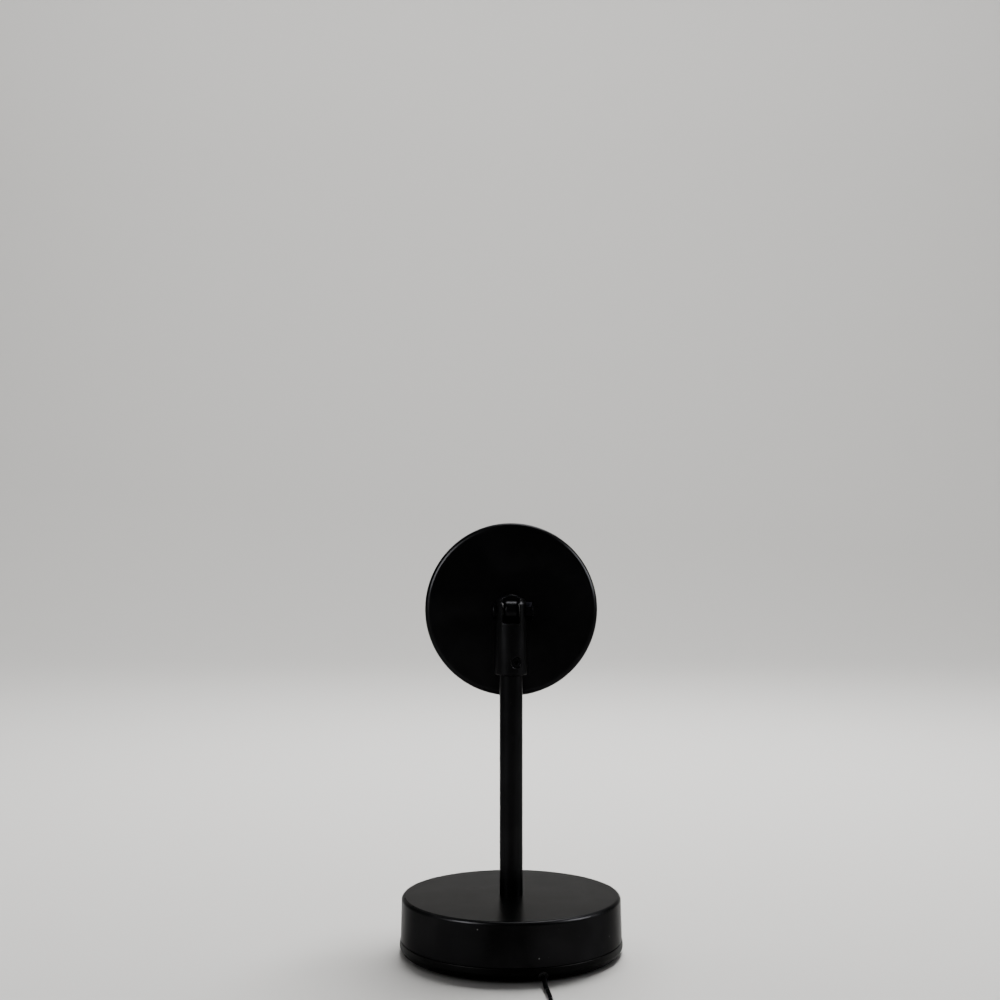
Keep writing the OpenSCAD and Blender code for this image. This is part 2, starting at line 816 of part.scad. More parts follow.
module driver_screws() {
    color(steel) head_axis(back_in + driver_lift + board_t) driver_place() for (side = [-1, 1])
        translate([0, side * driver_half, 0]) small_screw(4);
}

// Cord inside the head, from the tongue's bore to the driver board
module head_wire() {
    top = back_in + driver_lift + board_t;
    route = [
        [0, 0, shoulder_gap + 6], [0, 0, head_back], [0, 0, head_back + tongue_stud_l],
        [0.8, 0, top + 4], [3.6, 0, top + 5.6], [7.4, 0, top + 5.6], [10.6, 0, top + 4],
        [driver_ring_r - driver_size.x / 2, 0, top + 1.5], [driver_ring_r - driver_size.x / 2, 0, top]
    ];
    color(black_rubber) head_axis() rotate([0, 0, driver_angle])
        swept_tube(smooth(route, 2), head_wire_d, 8, [0, 0, 1], [0, 0, -1], [0, 1, 0]);
}

module heat_sink() {
    color(aluminium) head_axis(sink_back) difference() {
        union() {
            cylinder(r = shell_in_r - air, h = sink_t);
            around(fin_count, fin_in_r, 180 / fin_count) translate([0, -fin_w / 2, -fin_h])
                cube([shell_in_r - air - fin_edge - fin_in_r, fin_w, fin_h + 0.1]);
        }
        translate([0, 0, -fin_h - 1]) {
            head_posts(post_d / 2 + air, fin_h + 1);
            head_posts(screw_d / 2 + slip, 30);
            around(2, led_screw_r) cylinder(d = small_screw_d + 2 * slip, h = 30);
            rotate([0, 0, driver_angle]) translate([led_wire_r, 0, 0])
                cylinder(d = wire_hole_in_sink_d, h = 30);
        }
    }
}

module sink_screws() {
    color(steel) head_axis(sink_front + barrel_foot_t) around(3, post_ring_r, 90)
        screw(screw_d, 12, 5.4, 1.8);
}

module led_board() {
    color("white") head_axis(sink_front) difference() {
        cylinder(d = led_board_d, h = led_board_t);
        translate([0, 0, -1]) around(2, led_screw_r) cylinder(d = small_screw_d + 2 * slip, h = 5);
    }
}

module led_screws() {
    color(steel) head_axis(led_front) around(2, led_screw_r) small_screw(4.2);
}

module led_chip() {
    color(phosphor) head_axis(led_front) {
        translate([-led_size / 2, -led_size / 2, 0]) cube([led_size, led_size, led_body_h]);
        translate([0, 0, led_body_h]) dome(led_dome_d, led_dome_h);
    }
}

// Two thin wires from the driver board through the heat sink to the LED board
module led_wires() {
    low = back_in + driver_lift + board_t;
    color(amber) head_axis() rotate([0, 0, driver_angle]) for (side = [-1, 1]) {
        pad_r = led_board_d / 2 - 1.4;
        route = [
            [driver_pad_r, side, low], [driver_pad_r, side, low + 1.5],
            [driver_pad_r, side, low + inductor_h + wire_d], [led_wire_r, side, sink_back - 1.5],
            [led_wire_r, side, sink_back], [led_wire_r, side, sink_front + 0.6],
            [led_wire_r - 1.4, side, led_front + 1.2], [(led_wire_r + pad_r) / 2, side, led_front + 2],
            [pad_r + 2, side, led_front + 2.2], [pad_r, side, led_front + 1.2], [pad_r, side, led_front]
        ];
        swept_tube(smooth(route, 2), wire_d, 6, [0, 0, 1], [0, 0, -1], [0, 1, 0]);
    }
}

module condenser_holder() {
    color(black_plastic) head_axis(led_front) rotate_extrude() difference() {
        square([condenser_holder_r, condenser_holder_h]);
        translate([0, -1]) square([condenser_r - 1, condenser_holder_h + 2]);
        translate([0, condenser_seat]) square([condenser_r + slip, condenser_holder_h]);
    }
}

module condenser_lens() {
    color(clear_glass) head_axis(led_front + condenser_seat) {
        cylinder(r = condenser_r, h = condenser_edge);
        translate([0, 0, condenser_edge]) dome(2 * condenser_r - 0.8, condenser_dome_h);
    }
}

// Black tube that keeps the light in and carries the filter and the lens
module lens_barrel() {
    filter_r = dome_d / 2 + filter_lip + 0.1;
    color(black_plastic) head_axis() difference() {
        union() {
            rotate_extrude() difference() {
                translate([0, sink_front]) square([barrel_out_r, lens_front - sink_front]);
                translate([0, lens_back]) square([barrel_in_r, 10]);
                translate([0, lens_back - filter_t]) square([filter_r, 10]);
                square([dome_d / 2 - filter_seat_w, shell_front]);
                square([barrel_in_r, lens_back - filter_t - filter_seat_t]);
            }
            rotate([0, 0, 90]) for (i = [0 : 2]) rotate([0, 0, i * 120])
                translate([barrel_in_r + 0.2, -barrel_foot_w / 2, sink_front])
                    cube([post_ring_r + 3 - barrel_in_r, barrel_foot_w, barrel_foot_t]);
        }
        translate([0, 0, sink_front - 1]) head_posts(screw_d / 2 + slip, 6);
    }
}

module colour_filter() {
    color(amber) head_axis(lens_back - filter_t) cylinder(r = dome_d / 2 + filter_lip, h = filter_t);
}

module projection_lens() {
    color(clear_glass) head_axis(lens_back) {
        cylinder(d = lens_d, h = lens_edge);
        translate([0, 0, lens_edge]) dome(dome_d, dome_h);
    }
}

module lens_gasket() {
    color(black_rubber) head_axis(lens_front) tube(lens_d, dome_d + 2 * filter_lip, gasket_t);
}

// Front ring: a spigot in the shell, a shallow dish and a lip over the lens
module front_ring() {
    lip_r = dome_d / 2 + 0.3;
    spigot_r = shell_in_r - slip;
    color(black_paint) head_axis() rotate_extrude() difference() {
        polygon([
            [lip_r, ring_low], [lip_r, ring_low + ring_lip_t], [head_r - ring_rim_w, ring_front],
            [head_r, ring_front], [head_r, shell_front], [spigot_r, shell_front],
            [spigot_r, shell_front - spigot_l], [spigot_r - spigot_t, shell_front - spigot_l],
            [spigot_r - spigot_t, ring_low + ring_lip_t], [barrel_out_r + 1, ring_low]
        ]);
        translate([head_r - ring_edge_r, ring_front - ring_edge_r]) corner(ring_edge_r);
    }
}

// ---- Cord ----------------------------------------------------------------

function eased(t) = let (c = min(max(t, 0), 1)) c * c * (3 - 2 * c);

// How far the coil is raised where its turns cross the tie
function rise(a) =
    let (off = abs((a - tie_angle + 540) % 360 - 180)) tie_lift * eased((54 - off) / 35);

// Middle of the coil's tube after a number of turns: layers spiral in and out
// by turns, and the climb to the next layer takes the half turn round its end
function coil_point(turn) =
    let (
        layer = min(floor(turn / layer_turns), coil_layers - 1),
        along = turn - layer * layer_turns,
        r = layer % 2 == 0 ? coil_out_r - coil_pitch * along : coil_in_r + coil_pitch * along,
        climbs = [for (k = [1 : coil_layers - 1]) eased((turn - k * layer_turns) / 0.5 + 0.5)],
        a = 90 + 360 * turn
    )
    [
        coil_x + r * cos(a), coil_y + r * sin(a),
        table_z + coil_pitch * (climbs * [for (c = climbs) 1]) + rise(a)
    ];

coil_points = [for (i = [0 : coil_turns * rings_per_turn]) coil_point(i / rings_per_turn)];

// Least air between the tube of the coil and itself, at least half a turn further on
coil_gap = min([
    for (i = [0 : len(coil_points) - 1], k = [i + rings_per_turn / 2 : len(coil_points) - 1])
        norm(coil_points[i] - coil_points[k])
]) - cord_d;
echo(coil_gap = coil_gap);

function route_length(p) = len(p) < 2 ? 0
    : [for (i = [1 : len(p) - 1]) norm(p[i] - p[i - 1])] * [for (i = [1 : len(p) - 1]) 1];
echo(coil_length = route_length(coil_points), lead_length = route_length(smooth(lead_route, 2)),
    tail_length = route_length(smooth(tail_route, 2)), end_length = route_length(smooth(end_route, 2)));

module cord_lead() {
    color(black_rubber) swept_tube(smooth(lead_route, 2), cord_d, 8, exit_dir, [-1, 0, 0]);
}

module cord_coil() {
    whole = concat([[coil_x + cord_d, coil_north_y, table_z]], coil_points,
        [[coil_x + cord_d, switch_y, coil_top_z]]);
    color(black_rubber) swept_tube(whole, cord_d, 6, [-1, 0, 0], [1, 0, 0]);
}

// Strap round the coil, with its end lapped over it on top
module cord_tie() {
    edge_r = 1.2;
    lap_ends = [2, 1.5];
    low_r = coil_in_r - cord_d / 2 - 1;
    high_r = coil_out_r + cord_d / 2 + 0.2;
    top_z = coil_top_z + cord_d / 2 + tie_lift + 0.1;
    mid = [(low_r + high_r) / 2, (tie_t + top_z) / 2];
    inner = [high_r - low_r, top_z - tie_t];
    color(black_rubber) translate([coil_x, coil_y, 0]) rotate([0, 0, tie_angle]) rotate([90, 0, 0])
        translate([0, 0, -tie_w / 2]) {
            difference() {
                translate([mid.x, mid.y, 0])
                    rounded_bar(inner.x + 2 * tie_t, inner.y + 2 * tie_t, tie_w, edge_r + tie_t);
                translate([mid.x, mid.y, -1]) rounded_bar(inner.x, inner.y, tie_w + 2, edge_r);
            }
            translate([low_r + lap_ends[0], top_z + tie_t, 0])
                cube([inner.x - lap_ends[0] - lap_ends[1], tie_t, tie_w]);
        }
}

module cord_tail() {
    color(black_rubber) swept_tube(smooth(tail_route, 1), cord_d, 8, [1, 0, 0], [1, 0, 0]);
}

module cord_end() {
    color(black_rubber) swept_tube(smooth(end_route, 2), cord_d, 8, [1, 0, 0], [-1, 0, 0]);
}

// ---- Switch --------------------------------------------------------------

// Outline of the switch body seen from above, with its corners rounded
module switch_outline(inset = 0) {
    edge = switch_corner_r - inset;
    w = switch_w - 2 * inset;
    l = switch_l - 2 * inset;
    square([l - 2 * edge, w], center = true);
    square([l, w - 2 * edge], center = true);
    for (x = [-1, 1], y = [-1, 1]) translate([x * (l / 2 - edge), y * (w / 2 - edge)]) circle(edge);
}

module switch_place() {
    translate([switch_x, switch_y, 0]) children();
}

// Half of the switch body with its cord necks, from one height to another
module switch_half(low, high) {
    translate([0, 0, low]) linear_extrude(high - low) switch_outline();
    intersection() {
        for (side = [0, 1]) mirror([side, 0, 0])
            translate([switch_l / 2 - 1, 0, switch_h / 2]) rotate([0, 90, 0])
                cylinder(d1 = neck_d, d2 = neck_end_d, h = neck_l + 1);
        translate([-switch_l, -switch_w, low]) cube([2 * switch_l, 2 * switch_w, high - low]);
    }
}

module switch_hollow(low, high) {
    translate([0, 0, low]) linear_extrude(high - low) switch_outline(switch_wall);
}

module switch_posts(r, low, high) {
    for (side = [-1, 1]) translate([side * switch_post_x, 0, low]) cylinder(r = r, h = high - low);
}

module switch_base() {
    color(black_plastic) switch_place() difference() {
        union() {
            difference() {
                switch_half(0, switch_h / 2);
                switch_hollow(switch_wall, switch_h);
            }
            switch_posts(switch_post_r, switch_wall - 0.1, switch_h / 2);
        }
        switch_posts(small_screw_d / 2 + slip, -1, switch_h);
        switch_posts((small_head_d + head_room) / 2, -1, switch_head_seat);
    }
}

module switch_cover() {
    ceiling = switch_h - switch_wall;
    window_half = sqrt(pow(rocker_r, 2) - pow(ceiling - pivot_h, 2)) + air;
    cheek_y = rocker_w / 2 + air;
    pivot_reach = switch_w / 2 - switch_wall + 0.2;
    cheek_l = 5;
    color(black_plastic) switch_place() difference() {
        union() {
            difference() {
                switch_half(switch_h / 2, switch_h);
                switch_hollow(0, ceiling);
                translate([-window_half, -cheek_y, 0]) cube([2 * window_half, 2 * cheek_y, switch_h + 1]);
            }
            switch_posts(switch_post_r, switch_h / 2, ceiling + 0.1);
            for (side = [0, 1]) mirror([0, side, 0]) translate([-cheek_l / 2, cheek_y, switch_h / 2])
                cube([cheek_l, pivot_reach - cheek_y, ceiling - switch_h / 2 + 0.1]);
        }
        switch_posts(small_screw_d / 2 + slip, 0, ceiling - 0.5);
        translate([0, pivot_reach, pivot_h]) rotate([90, 0, 0])
            cylinder(d = pivot_d + 2 * run, h = 2 * pivot_reach);
    }
}

// Two brass strips that the rocker's spring would press together
module switch_terminals() {
    strip_w = 4;
    strip_l = 8.4;
    strip_t = 0.5;
    color(brass) switch_place() for (side = [0, 1]) mirror([side, 0, 0])
        translate([1.2, strip_w / 2, switch_wall]) rotate([90, 0, 0]) linear_extrude(strip_w)
            polygon([
                [0, 0], [strip_l, 0], [strip_l, strip_t], [1.7 + strip_t, strip_t],
                [1.7 + strip_t, 1.5 + strip_t], [0.4, 1.5 + strip_t], [0.4, 1.5], [1.7, 1.5],
                [1.7, strip_t], [0, strip_t]
            ]);
}

module switch_screws() {
    color(steel) switch_place() for (side = [-1, 1])
        translate([side * switch_post_x, 0, switch_head_seat]) mirror([0, 0, 1]) small_screw(6.4);
}

// Rocker, drawn level on its pivot and then pressed down at its -X end
module switch_rocker() {
    dish_r = 18;
    dish_low = 2.6;
    pin_end = rocker_w / 2 + air + 1.2;
    color(black_plastic) switch_place() translate([0, 0, pivot_h]) rotate([0, -rocker_tilt, 0])
        rotate([90, 0, 0]) {
            translate([0, 0, -rocker_w / 2]) linear_extrude(rocker_w) difference() {
                intersection() {
                    circle(rocker_r);
                    translate([-rocker_r, -2]) square([2 * rocker_r, 8]);
                }
                translate([0, dish_low + dish_r]) circle(dish_r);
            }
            translate([0, 0, -pin_end]) cylinder(d = pivot_d, h = 2 * pin_end);
        }
}

// ---- Plug ----------------------------------------------------------------

// Puts a shape that is drawn along +Z on the plug's axis, towards its tip
module plug_axis(at = 0) {
    translate([plug_back_x, plug_y, plug_z]) rotate([0, -90, 0]) rotate([0, 0, 90])
        translate([0, 0, at]) children();
}

module plug_grip() {
    groove = 0.4;
    groove_w = 1;
    groove_pitch = 2.2;
    grooves_from = boot_l + 5;
    side_edge = 3;
    color(black_rubber) plug_axis() difference() {
        union() {
            cylinder(d1 = 2 * cord_d, d2 = 2.8 * cord_d, h = boot_l + 0.5);
            translate([0, 0, boot_l]) rounded_bar(grip_w, grip_h, grip_l, 2);
        }
        for (k = [0 : 4], side = [0, 1]) mirror([0, side, 0])
            translate([-grip_w / 2 + side_edge, grip_h / 2 - groove, grooves_from + groove_pitch * k])
                cube([grip_w - 2 * side_edge, 2, groove_w]);
        translate([0, 0, boot_l + grip_l - shell_seat])
            rounded_bar(shell_w, shell_h, shell_l, shell_edge_r);
    }
}

module plug_shell() {
    window = [2.4, 2];
    window_x = 2.9;
    window_from = shell_seat + 5.2;
    color(steel) plug_axis(boot_l + grip_l - shell_seat) difference() {
        rounded_bar(shell_w, shell_h, shell_l + shell_seat, shell_edge_r);
        translate([0, 0, -1])
            rounded_bar(shell_w - 2 * shell_t, shell_h - 2 * shell_t, shell_l + shell_seat + 2,
                shell_edge_r - shell_t / 2);
        for (side = [-1, 1]) translate([side * window_x - window.x / 2, -shell_h, window_from])
            cube([window.x, 2 * shell_h, window.y]);
    }
}

module plug_tongue() {
    inner_w = shell_w - 2 * shell_t;
    inner_h = shell_h - 2 * shell_t;
    color("white") plug_axis(boot_l + grip_l - shell_seat) {
        translate([-inner_w / 2 + 0.5, -inner_h / 2, 0]) cube([inner_w - 1, inner_h, shell_seat]);
        translate([-inner_w / 2 + 0.5, inner_h / 2 - tongue_plate_t, 0])
            cube([inner_w - 1, tongue_plate_t, shell_seat + shell_l - 1]);
    }
}

module plug_contacts() {
    strip = [1, 0.2];
    color(brass) plug_axis(boot_l + grip_l) for (x = [-3.5, -1, 1, 3.5])
        translate([x - strip.x / 2, shell_h / 2 - shell_t - tongue_plate_t - strip.y, 0])
            cube([strip.x, strip.y, abs(x) > 2 ? shell_l - 2 : shell_l - 3]);
}

base_cover();
base_weight();
base_plate();
base_pad();
plate_screws();
cord_grommet();
cord_clamp();
clamp_screws();
base_cable();
pole();
pole_stud();
stud_washer();
stud_nut();
joint_fork();
grub_screw();
hinge_screw();
hinge_nut();
friction_washers();
joint_tongue();
tongue_washer();
tongue_nut();
head_shell();
driver_board();
driver_parts();
driver_screws();
head_wire();
heat_sink();
sink_screws();
led_board();
led_screws();
led_chip();
led_wires();
condenser_holder();
condenser_lens();
lens_barrel();
colour_filter();
projection_lens();
lens_gasket();
front_ring();
cord_lead();
cord_coil();
cord_tie();
cord_tail();
cord_end();
switch_base();
switch_cover();
switch_terminals();
switch_screws();
switch_rocker();
plug_grip();
plug_shell();
plug_tongue();
plug_contacts();
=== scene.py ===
"""Sunset projection lamp on a pale floor, in plain soft studio light.

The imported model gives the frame. This script lays the cord, rounds the edges
that catch the light, builds the finer pieces and gives each piece its finish.
Sizes are in metres. The lamp's axis is Z, its head looks along +Y and the
camera stands behind it, at -Y.
"""

import logging
import math
from collections.abc import Callable, Iterable, Sequence
from dataclasses import dataclass
from enum import Enum
from typing import ClassVar

import bmesh
import bpy
from mathutils import Matrix, Vector


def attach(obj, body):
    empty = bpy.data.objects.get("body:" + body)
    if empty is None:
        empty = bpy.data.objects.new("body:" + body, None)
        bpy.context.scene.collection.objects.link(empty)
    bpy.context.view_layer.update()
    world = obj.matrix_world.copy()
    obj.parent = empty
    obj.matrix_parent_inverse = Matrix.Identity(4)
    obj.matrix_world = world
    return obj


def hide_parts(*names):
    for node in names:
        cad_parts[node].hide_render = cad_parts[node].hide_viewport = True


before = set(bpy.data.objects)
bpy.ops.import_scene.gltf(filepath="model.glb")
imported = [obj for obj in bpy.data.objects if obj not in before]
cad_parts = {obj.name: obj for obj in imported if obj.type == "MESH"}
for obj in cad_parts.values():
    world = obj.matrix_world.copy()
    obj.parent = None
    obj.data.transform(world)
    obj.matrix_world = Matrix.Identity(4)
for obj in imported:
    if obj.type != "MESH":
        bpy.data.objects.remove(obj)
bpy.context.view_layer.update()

logging.basicConfig(level=logging.INFO, format="%(levelname)s %(message)s")
log = logging.getLogger("lamp")

MM = 0.001
HINGE_HEIGHT = 146 * MM
WELD = 1e-6  # corners this near are one, in metres
FLAT_ANGLE = 0.5  # degrees, under which two faces count as one
SHARP_ANGLE = 40  # degrees, past which an edge is rounded
CREASE_ANGLE = 35  # degrees, past which an edge looks sharp
RIB_STEPS = 40
RIB_ARC_STEP = 30  # degrees
Point = tuple[float, float, float]
Colour = tuple[float, float, float]
Socket = bpy.types.NodeSocket


class Axis(Enum):
    """The way that a turned piece or a brushed pattern runs."""

    X = 0
    Y = 1
    Z = 2

    @property
    def direction(self) -> Vector:
        """The axis as a unit vector."""
        return Vector([float(i == self.value) for i in range(3)])


# ---- Shader nodes ----


class Signal:
    """A number that changes over a surface, with Python's operators."""

    def __init__(self, graph: "Graph", socket: Socket) -> None:
        """Wraps a node's output, in the graph that its Math nodes go to."""
        self.graph = graph
        self.socket = socket

    def __add__(self, other: "Signal | float") -> "Signal":
        """The sum of two numbers."""
        return self.graph.math("ADD", self, other)

    def __sub__(self, other: "Signal | float") -> "Signal":
        """This number less another."""
        return self.graph.math("SUBTRACT", self, other)

    def __rsub__(self, other: float) -> "Signal":
        """A plain number less this one."""
        return self.graph.math("SUBTRACT", other, self)

    def __mul__(self, other: "Signal | float") -> "Signal":
        """The product of two numbers."""
        return self.graph.math("MULTIPLY", self, other)

    __radd__ = __add__

    def sine(self) -> "Signal":
        """The sine of this number, in radians."""
        return self.graph.math("SINE", self)

    def largest(self, other: "Signal | float") -> "Signal":
        """The larger of two numbers."""
        return self.graph.math("MAXIMUM", self, other)

    def between(self, low: float, high: float) -> "Signal":
        """A soft step from 0 at low to 1 at high, or down if high is less.

        Args:
            low: The number that gives 0.
            high: The number that gives 1.

        Returns:
            The step, held within 0 and 1.
        """
        node = self.graph.node(
            "MapRange", {"interpolation_type": "SMOOTHSTEP"},
            {"Value": self, "From Min": low, "From Max": high},
        )
        return Signal(self.graph, node.outputs["Result"])


class Graph:
    """The nodes of one material, from its patterns to its surface."""

    def __init__(self, name: str) -> None:
        """Makes a named material with nothing but its surface shader."""
        self.material = bpy.data.materials.new(name)
        self.material.use_nodes = True
        self.tree = self.material.node_tree
        self.shader = self.tree.nodes["Principled BSDF"]

    def feed(self, socket: Socket, value: object) -> None:
        """Gives a socket its link or its value.

        Args:
            socket: The input.
            value: A signal or an output to link, or a plain value.
        """
        source = value.socket if isinstance(value, Signal) else value
        if isinstance(source, Socket):
            self.tree.links.new(source, socket)
        elif socket.type == "RGBA":
            socket.default_value = (*source, 1)
        else:
            socket.default_value = source

    def node(
        self, kind: str, settings: dict | None = None, inputs: dict | None = None
    ) -> bpy.types.Node:
        """Adds a node.

        Args:
            kind: The node's type, without its prefix.
            settings: Its properties, set first. "stops" are a ramp's places and colours.
            inputs: Its sockets, by name or number, with their links or values.

        Returns:
            The new node.
        """
        made = self.tree.nodes.new("ShaderNode" + kind)
        for name, value in (settings or {}).items():
            if name == "stops":
                self._set_stops(made.color_ramp, value)
            else:
                setattr(made, name, value)
        for name, value in (inputs or {}).items():
            self.feed(made.inputs[name], value)
        return made

    @staticmethod
    def _set_stops(ramp: bpy.types.ColorRamp, stops: Sequence[tuple[float, Colour]]) -> None:
        """Puts colours on a ramp, which starts with two stops."""
        for i, (place, colour) in enumerate(stops):
            stop = ramp.elements[i] if i < 2 else ramp.elements.new(place)
            stop.position = place
            stop.color = (*colour, 1)

    def math(self, operation: str, *values: Signal | float) -> Signal:
        """The result of a Math node on one or two numbers."""
        node = self.node("Math", {"operation": operation}, dict(enumerate(values)))
        return Signal(self, node.outputs["Value"])

    def place(self, centre: Point = (0, 0, 0), stretch: Point = (1, 1, 1)) -> Socket:
        """The place on the piece, measured from a centre and stretched along the axes."""
        where = self.node("TexCoord").outputs["Object"]
        shift = self.node("VectorMath", {"operation": "SUBTRACT"}, {0: where, 1: centre})
        return self.node(
            "VectorMath", {"operation": "MULTIPLY"}, {0: shift.outputs[0], 1: stretch}
        ).outputs[0]

    def parts(self, vector: Socket) -> list[Signal]:
        """The x, y and z of a vector."""
        node = self.node("SeparateXYZ", None, {0: vector})
        return [Signal(self, out) for out in node.outputs]

    def distance(self, centre: Point, axis: Axis) -> Signal:
        """How far a place is, in metres, from an axis through a centre."""
        flat = tuple(float(i != axis.value) for i in range(3))
        node = self.node("VectorMath", {"operation": "LENGTH"}, {0: self.place(centre, flat)})
        return Signal(self, node.outputs["Value"])

    def noise(
        self, size: float, detail: float = 2, stretch: Point = (1, 1, 1), warp: float = 0
    ) -> Signal:
        """Soft random variation.

        Args:
            size: The width of its spots, in metres.
            detail: How many finer layers it has.
            stretch: How much closer the spots are along each axis.
            warp: How much the spots are twisted.

        Returns:
            A number around 0.5.
        """
        inputs = {"Scale": 1 / size, "Detail": detail, "Distortion": warp}
        inputs["Vector"] = self.place(stretch=stretch)
        return Signal(self, self.node("TexNoise", None, inputs).outputs["Fac"])

    def specks(self, spacing: float, radius: float, share: float) -> Signal:
        """Small round specks, 1 on a speck and 0 elsewhere.

        Args:
            spacing: The width of the cells that can each hold a speck.
            radius: The radius of a speck.
            share: The part of the cells that hold one.

        Returns:
            The specks' mask.
        """
        cells = self.node("TexVoronoi", None, {"Vector": self.place(), "Scale": 1 / spacing})
        far = Signal(self, cells.outputs["Distance"])
        chance = self.node("SeparateColor", None, {0: cells.outputs["Color"]})
        edge = radius / spacing
        return far.between(edge, edge * 0.5) * self.math(
            "LESS_THAN", Signal(self, chance.outputs[0]), share
        )

    def mix(self, factor: Signal | float, first: object, second: object) -> Socket:
        """A colour between two colours.

        Args:
            factor: 0 for the first and 1 for the second.
            first: A colour or a link.
            second: A colour or a link.

        Returns:
            The mixed colour's output.
        """
        node = self.node("Mix", {"data_type": "RGBA"})
        self.feed(node.inputs[0], factor)
        self.feed(node.inputs[6], first)
        self.feed(node.inputs[7], second)
        return node.outputs[2]

    def shades(self, factor: Signal, colour: Colour, ratio: float) -> Socket:
        """A colour that goes to a shade of itself, so many times as bright."""
        return self.mix(factor, colour, [c * ratio for c in colour])

    def bump(self, height: Signal, depth: float) -> Socket:
        """The normal of a surface that rises by a depth in metres where the height is 1."""
        node = self.node("Bump", None, {"Height": height, "Distance": depth})
        return node.outputs["Normal"]

    def surface(self, **values: object) -> None:
        """Feeds the surface shader's sockets, named with underscores for spaces."""
        for name, value in values.items():
            words = name.replace("_", " ").title().replace("Ior", "IOR")
            self.feed(self.shader.inputs[words], value)


# ---- Finishes ----


@dataclass(frozen=True)
class Finish:
    """A surface finish, which makes one material."""

    name: str

    def material(self) -> bpy.types.Material:
        """The finish's material, made when it is first asked for."""
        made = bpy.data.materials.get(self.name)
        if made is None:
            graph = Graph(self.name)
            self.paint(graph)
            made = graph.material
        return made

    def paint(self, graph: Graph) -> None:
        """Adds the finish's patterns. Each finish has its own."""
        raise NotImplementedError


@dataclass(frozen=True)
class PowderCoat(Finish):
    """Satin powder coat: a fine orange peel, faint smudges and a little dust."""

    colour: Colour = (0.006, 0.006, 0.0064)
    roughness: float = 0.3
    peel: float = 1.3 * MM
    dust: float = 0.42

    def paint(self, graph: Graph) -> None:
        """Adds the peel, the smudges and the dust."""
        smudge = graph.noise(22 * MM, 3, warp=0.6)
        grain = graph.noise(self.peel, 1.5)
        pits = graph.noise(0.25 * MM, 1)
        dust = graph.specks(8 * MM, 0.42 * MM, self.dust).largest(
            graph.specks(2.1 * MM, 0.08 * MM, self.dust * 0.5)
        )
        worn = graph.shades(smudge.between(0.35, 0.75), self.colour, 1.5)
        graph.surface(
            base_color=graph.mix(dust, worn, (0.14, 0.14, 0.14)),
            roughness=smudge * 0.1 + pits * 0.05 + dust * 0.3 + (self.roughness - 0.075),
            normal=graph.bump(grain * 0.8 + pits * 0.2, 0.006 * MM),
            metallic=1.0 - dust,
            specular_tint=(0.53, 0.53, 0.53),
            specular_ior_level=0.1,
        )


@dataclass(frozen=True)
class DarkSteel(Finish):
    """Blackened steel of small fasteners, with a trace of oil and handling."""

    colour: Colour = (0.004, 0.004, 0.0044)

    def paint(self, graph: Graph) -> None:
        """Adds the oxide's blotches and the fine scratches."""
        blotch = graph.noise(1.6 * MM, 4)
        scratch = graph.noise(0.5 * MM, 2, stretch=(0.1, 1, 1))
        graph.surface(
            base_color=graph.shades(blotch.between(0.3, 0.7), self.colour, 0.5),
            roughness=blotch * 0.16 + scratch * 0.1 + 0.3,
            normal=graph.bump(scratch, 0.004 * MM),
            metallic=1.0,
            specular_tint=(0.4, 0.4, 0.4),
        )


@dataclass(frozen=True)
class TurnedMetal(Finish):
    """Metal turned on a lathe, with fine rings round an axis."""

    colour: Colour = (0.6, 0.61, 0.63)
    roughness: float = 0.3
    centre: Point = (0, 0, 0)
    axis: Axis = Axis.Z
    pitch: float = 0.12 * MM

    def paint(self, graph: Graph) -> None:
        """Adds the rings and a slight dulling in places."""
        rings = (graph.distance(self.centre, self.axis) * (2 * math.pi / self.pitch)).sine()
        dull = graph.noise(2.5 * MM, 3)
        graph.surface(
            base_color=graph.shades(dull.between(0.35, 0.7), self.colour, 0.72),
            metallic=1.0,
            roughness=dull * 0.2 + rings * 0.03 + (self.roughness - 0.1),
            normal=graph.bump(rings * 0.5 + 0.5, 0.003 * MM),
        )


@dataclass(frozen=True)
class BrushedMetal(Finish):
    """Sheet metal with fine rolling lines along one axis."""

    colour: Colour = (0.63, 0.62, 0.6)
    roughness: float = 0.26
    axis: Axis = Axis.X

    def paint(self, graph: Graph) -> None:
        """Adds the rolling lines and a few longer scratches."""
        stretch = tuple(0.04 if i == self.axis.value else 1.0 for i in range(3))
        lines = graph.noise(0.18 * MM, 3, stretch)
        haze = graph.noise(3 * MM, 2)
        graph.surface(
            base_color=graph.shades(lines.between(0.4, 0.7), self.colour, 0.85),
            metallic=1.0,
            roughness=lines * 0.14 + haze * 0.12 + (self.roughness - 0.13),
            normal=graph.bump(lines, 0.004 * MM),
        )


@dataclass(frozen=True)
class CastMetal(Finish):
    """Cast metal with a grainy skin."""

    colour: Colour = (0.5, 0.5, 0.52)
    roughness: float = 0.5
    grain: float = 0.7 * MM

    def paint(self, graph: Graph) -> None:
        """Adds the grain of the mould."""
        grain = graph.noise(self.grain, 4)
        stain = graph.noise(9 * MM, 2)
        graph.surface(
            base_color=graph.shades(stain, self.colour, 0.7),
            metallic=1.0,
            roughness=grain * 0.2 + (self.roughness - 0.1),
            normal=graph.bump(grain, 0.05 * MM),
        )


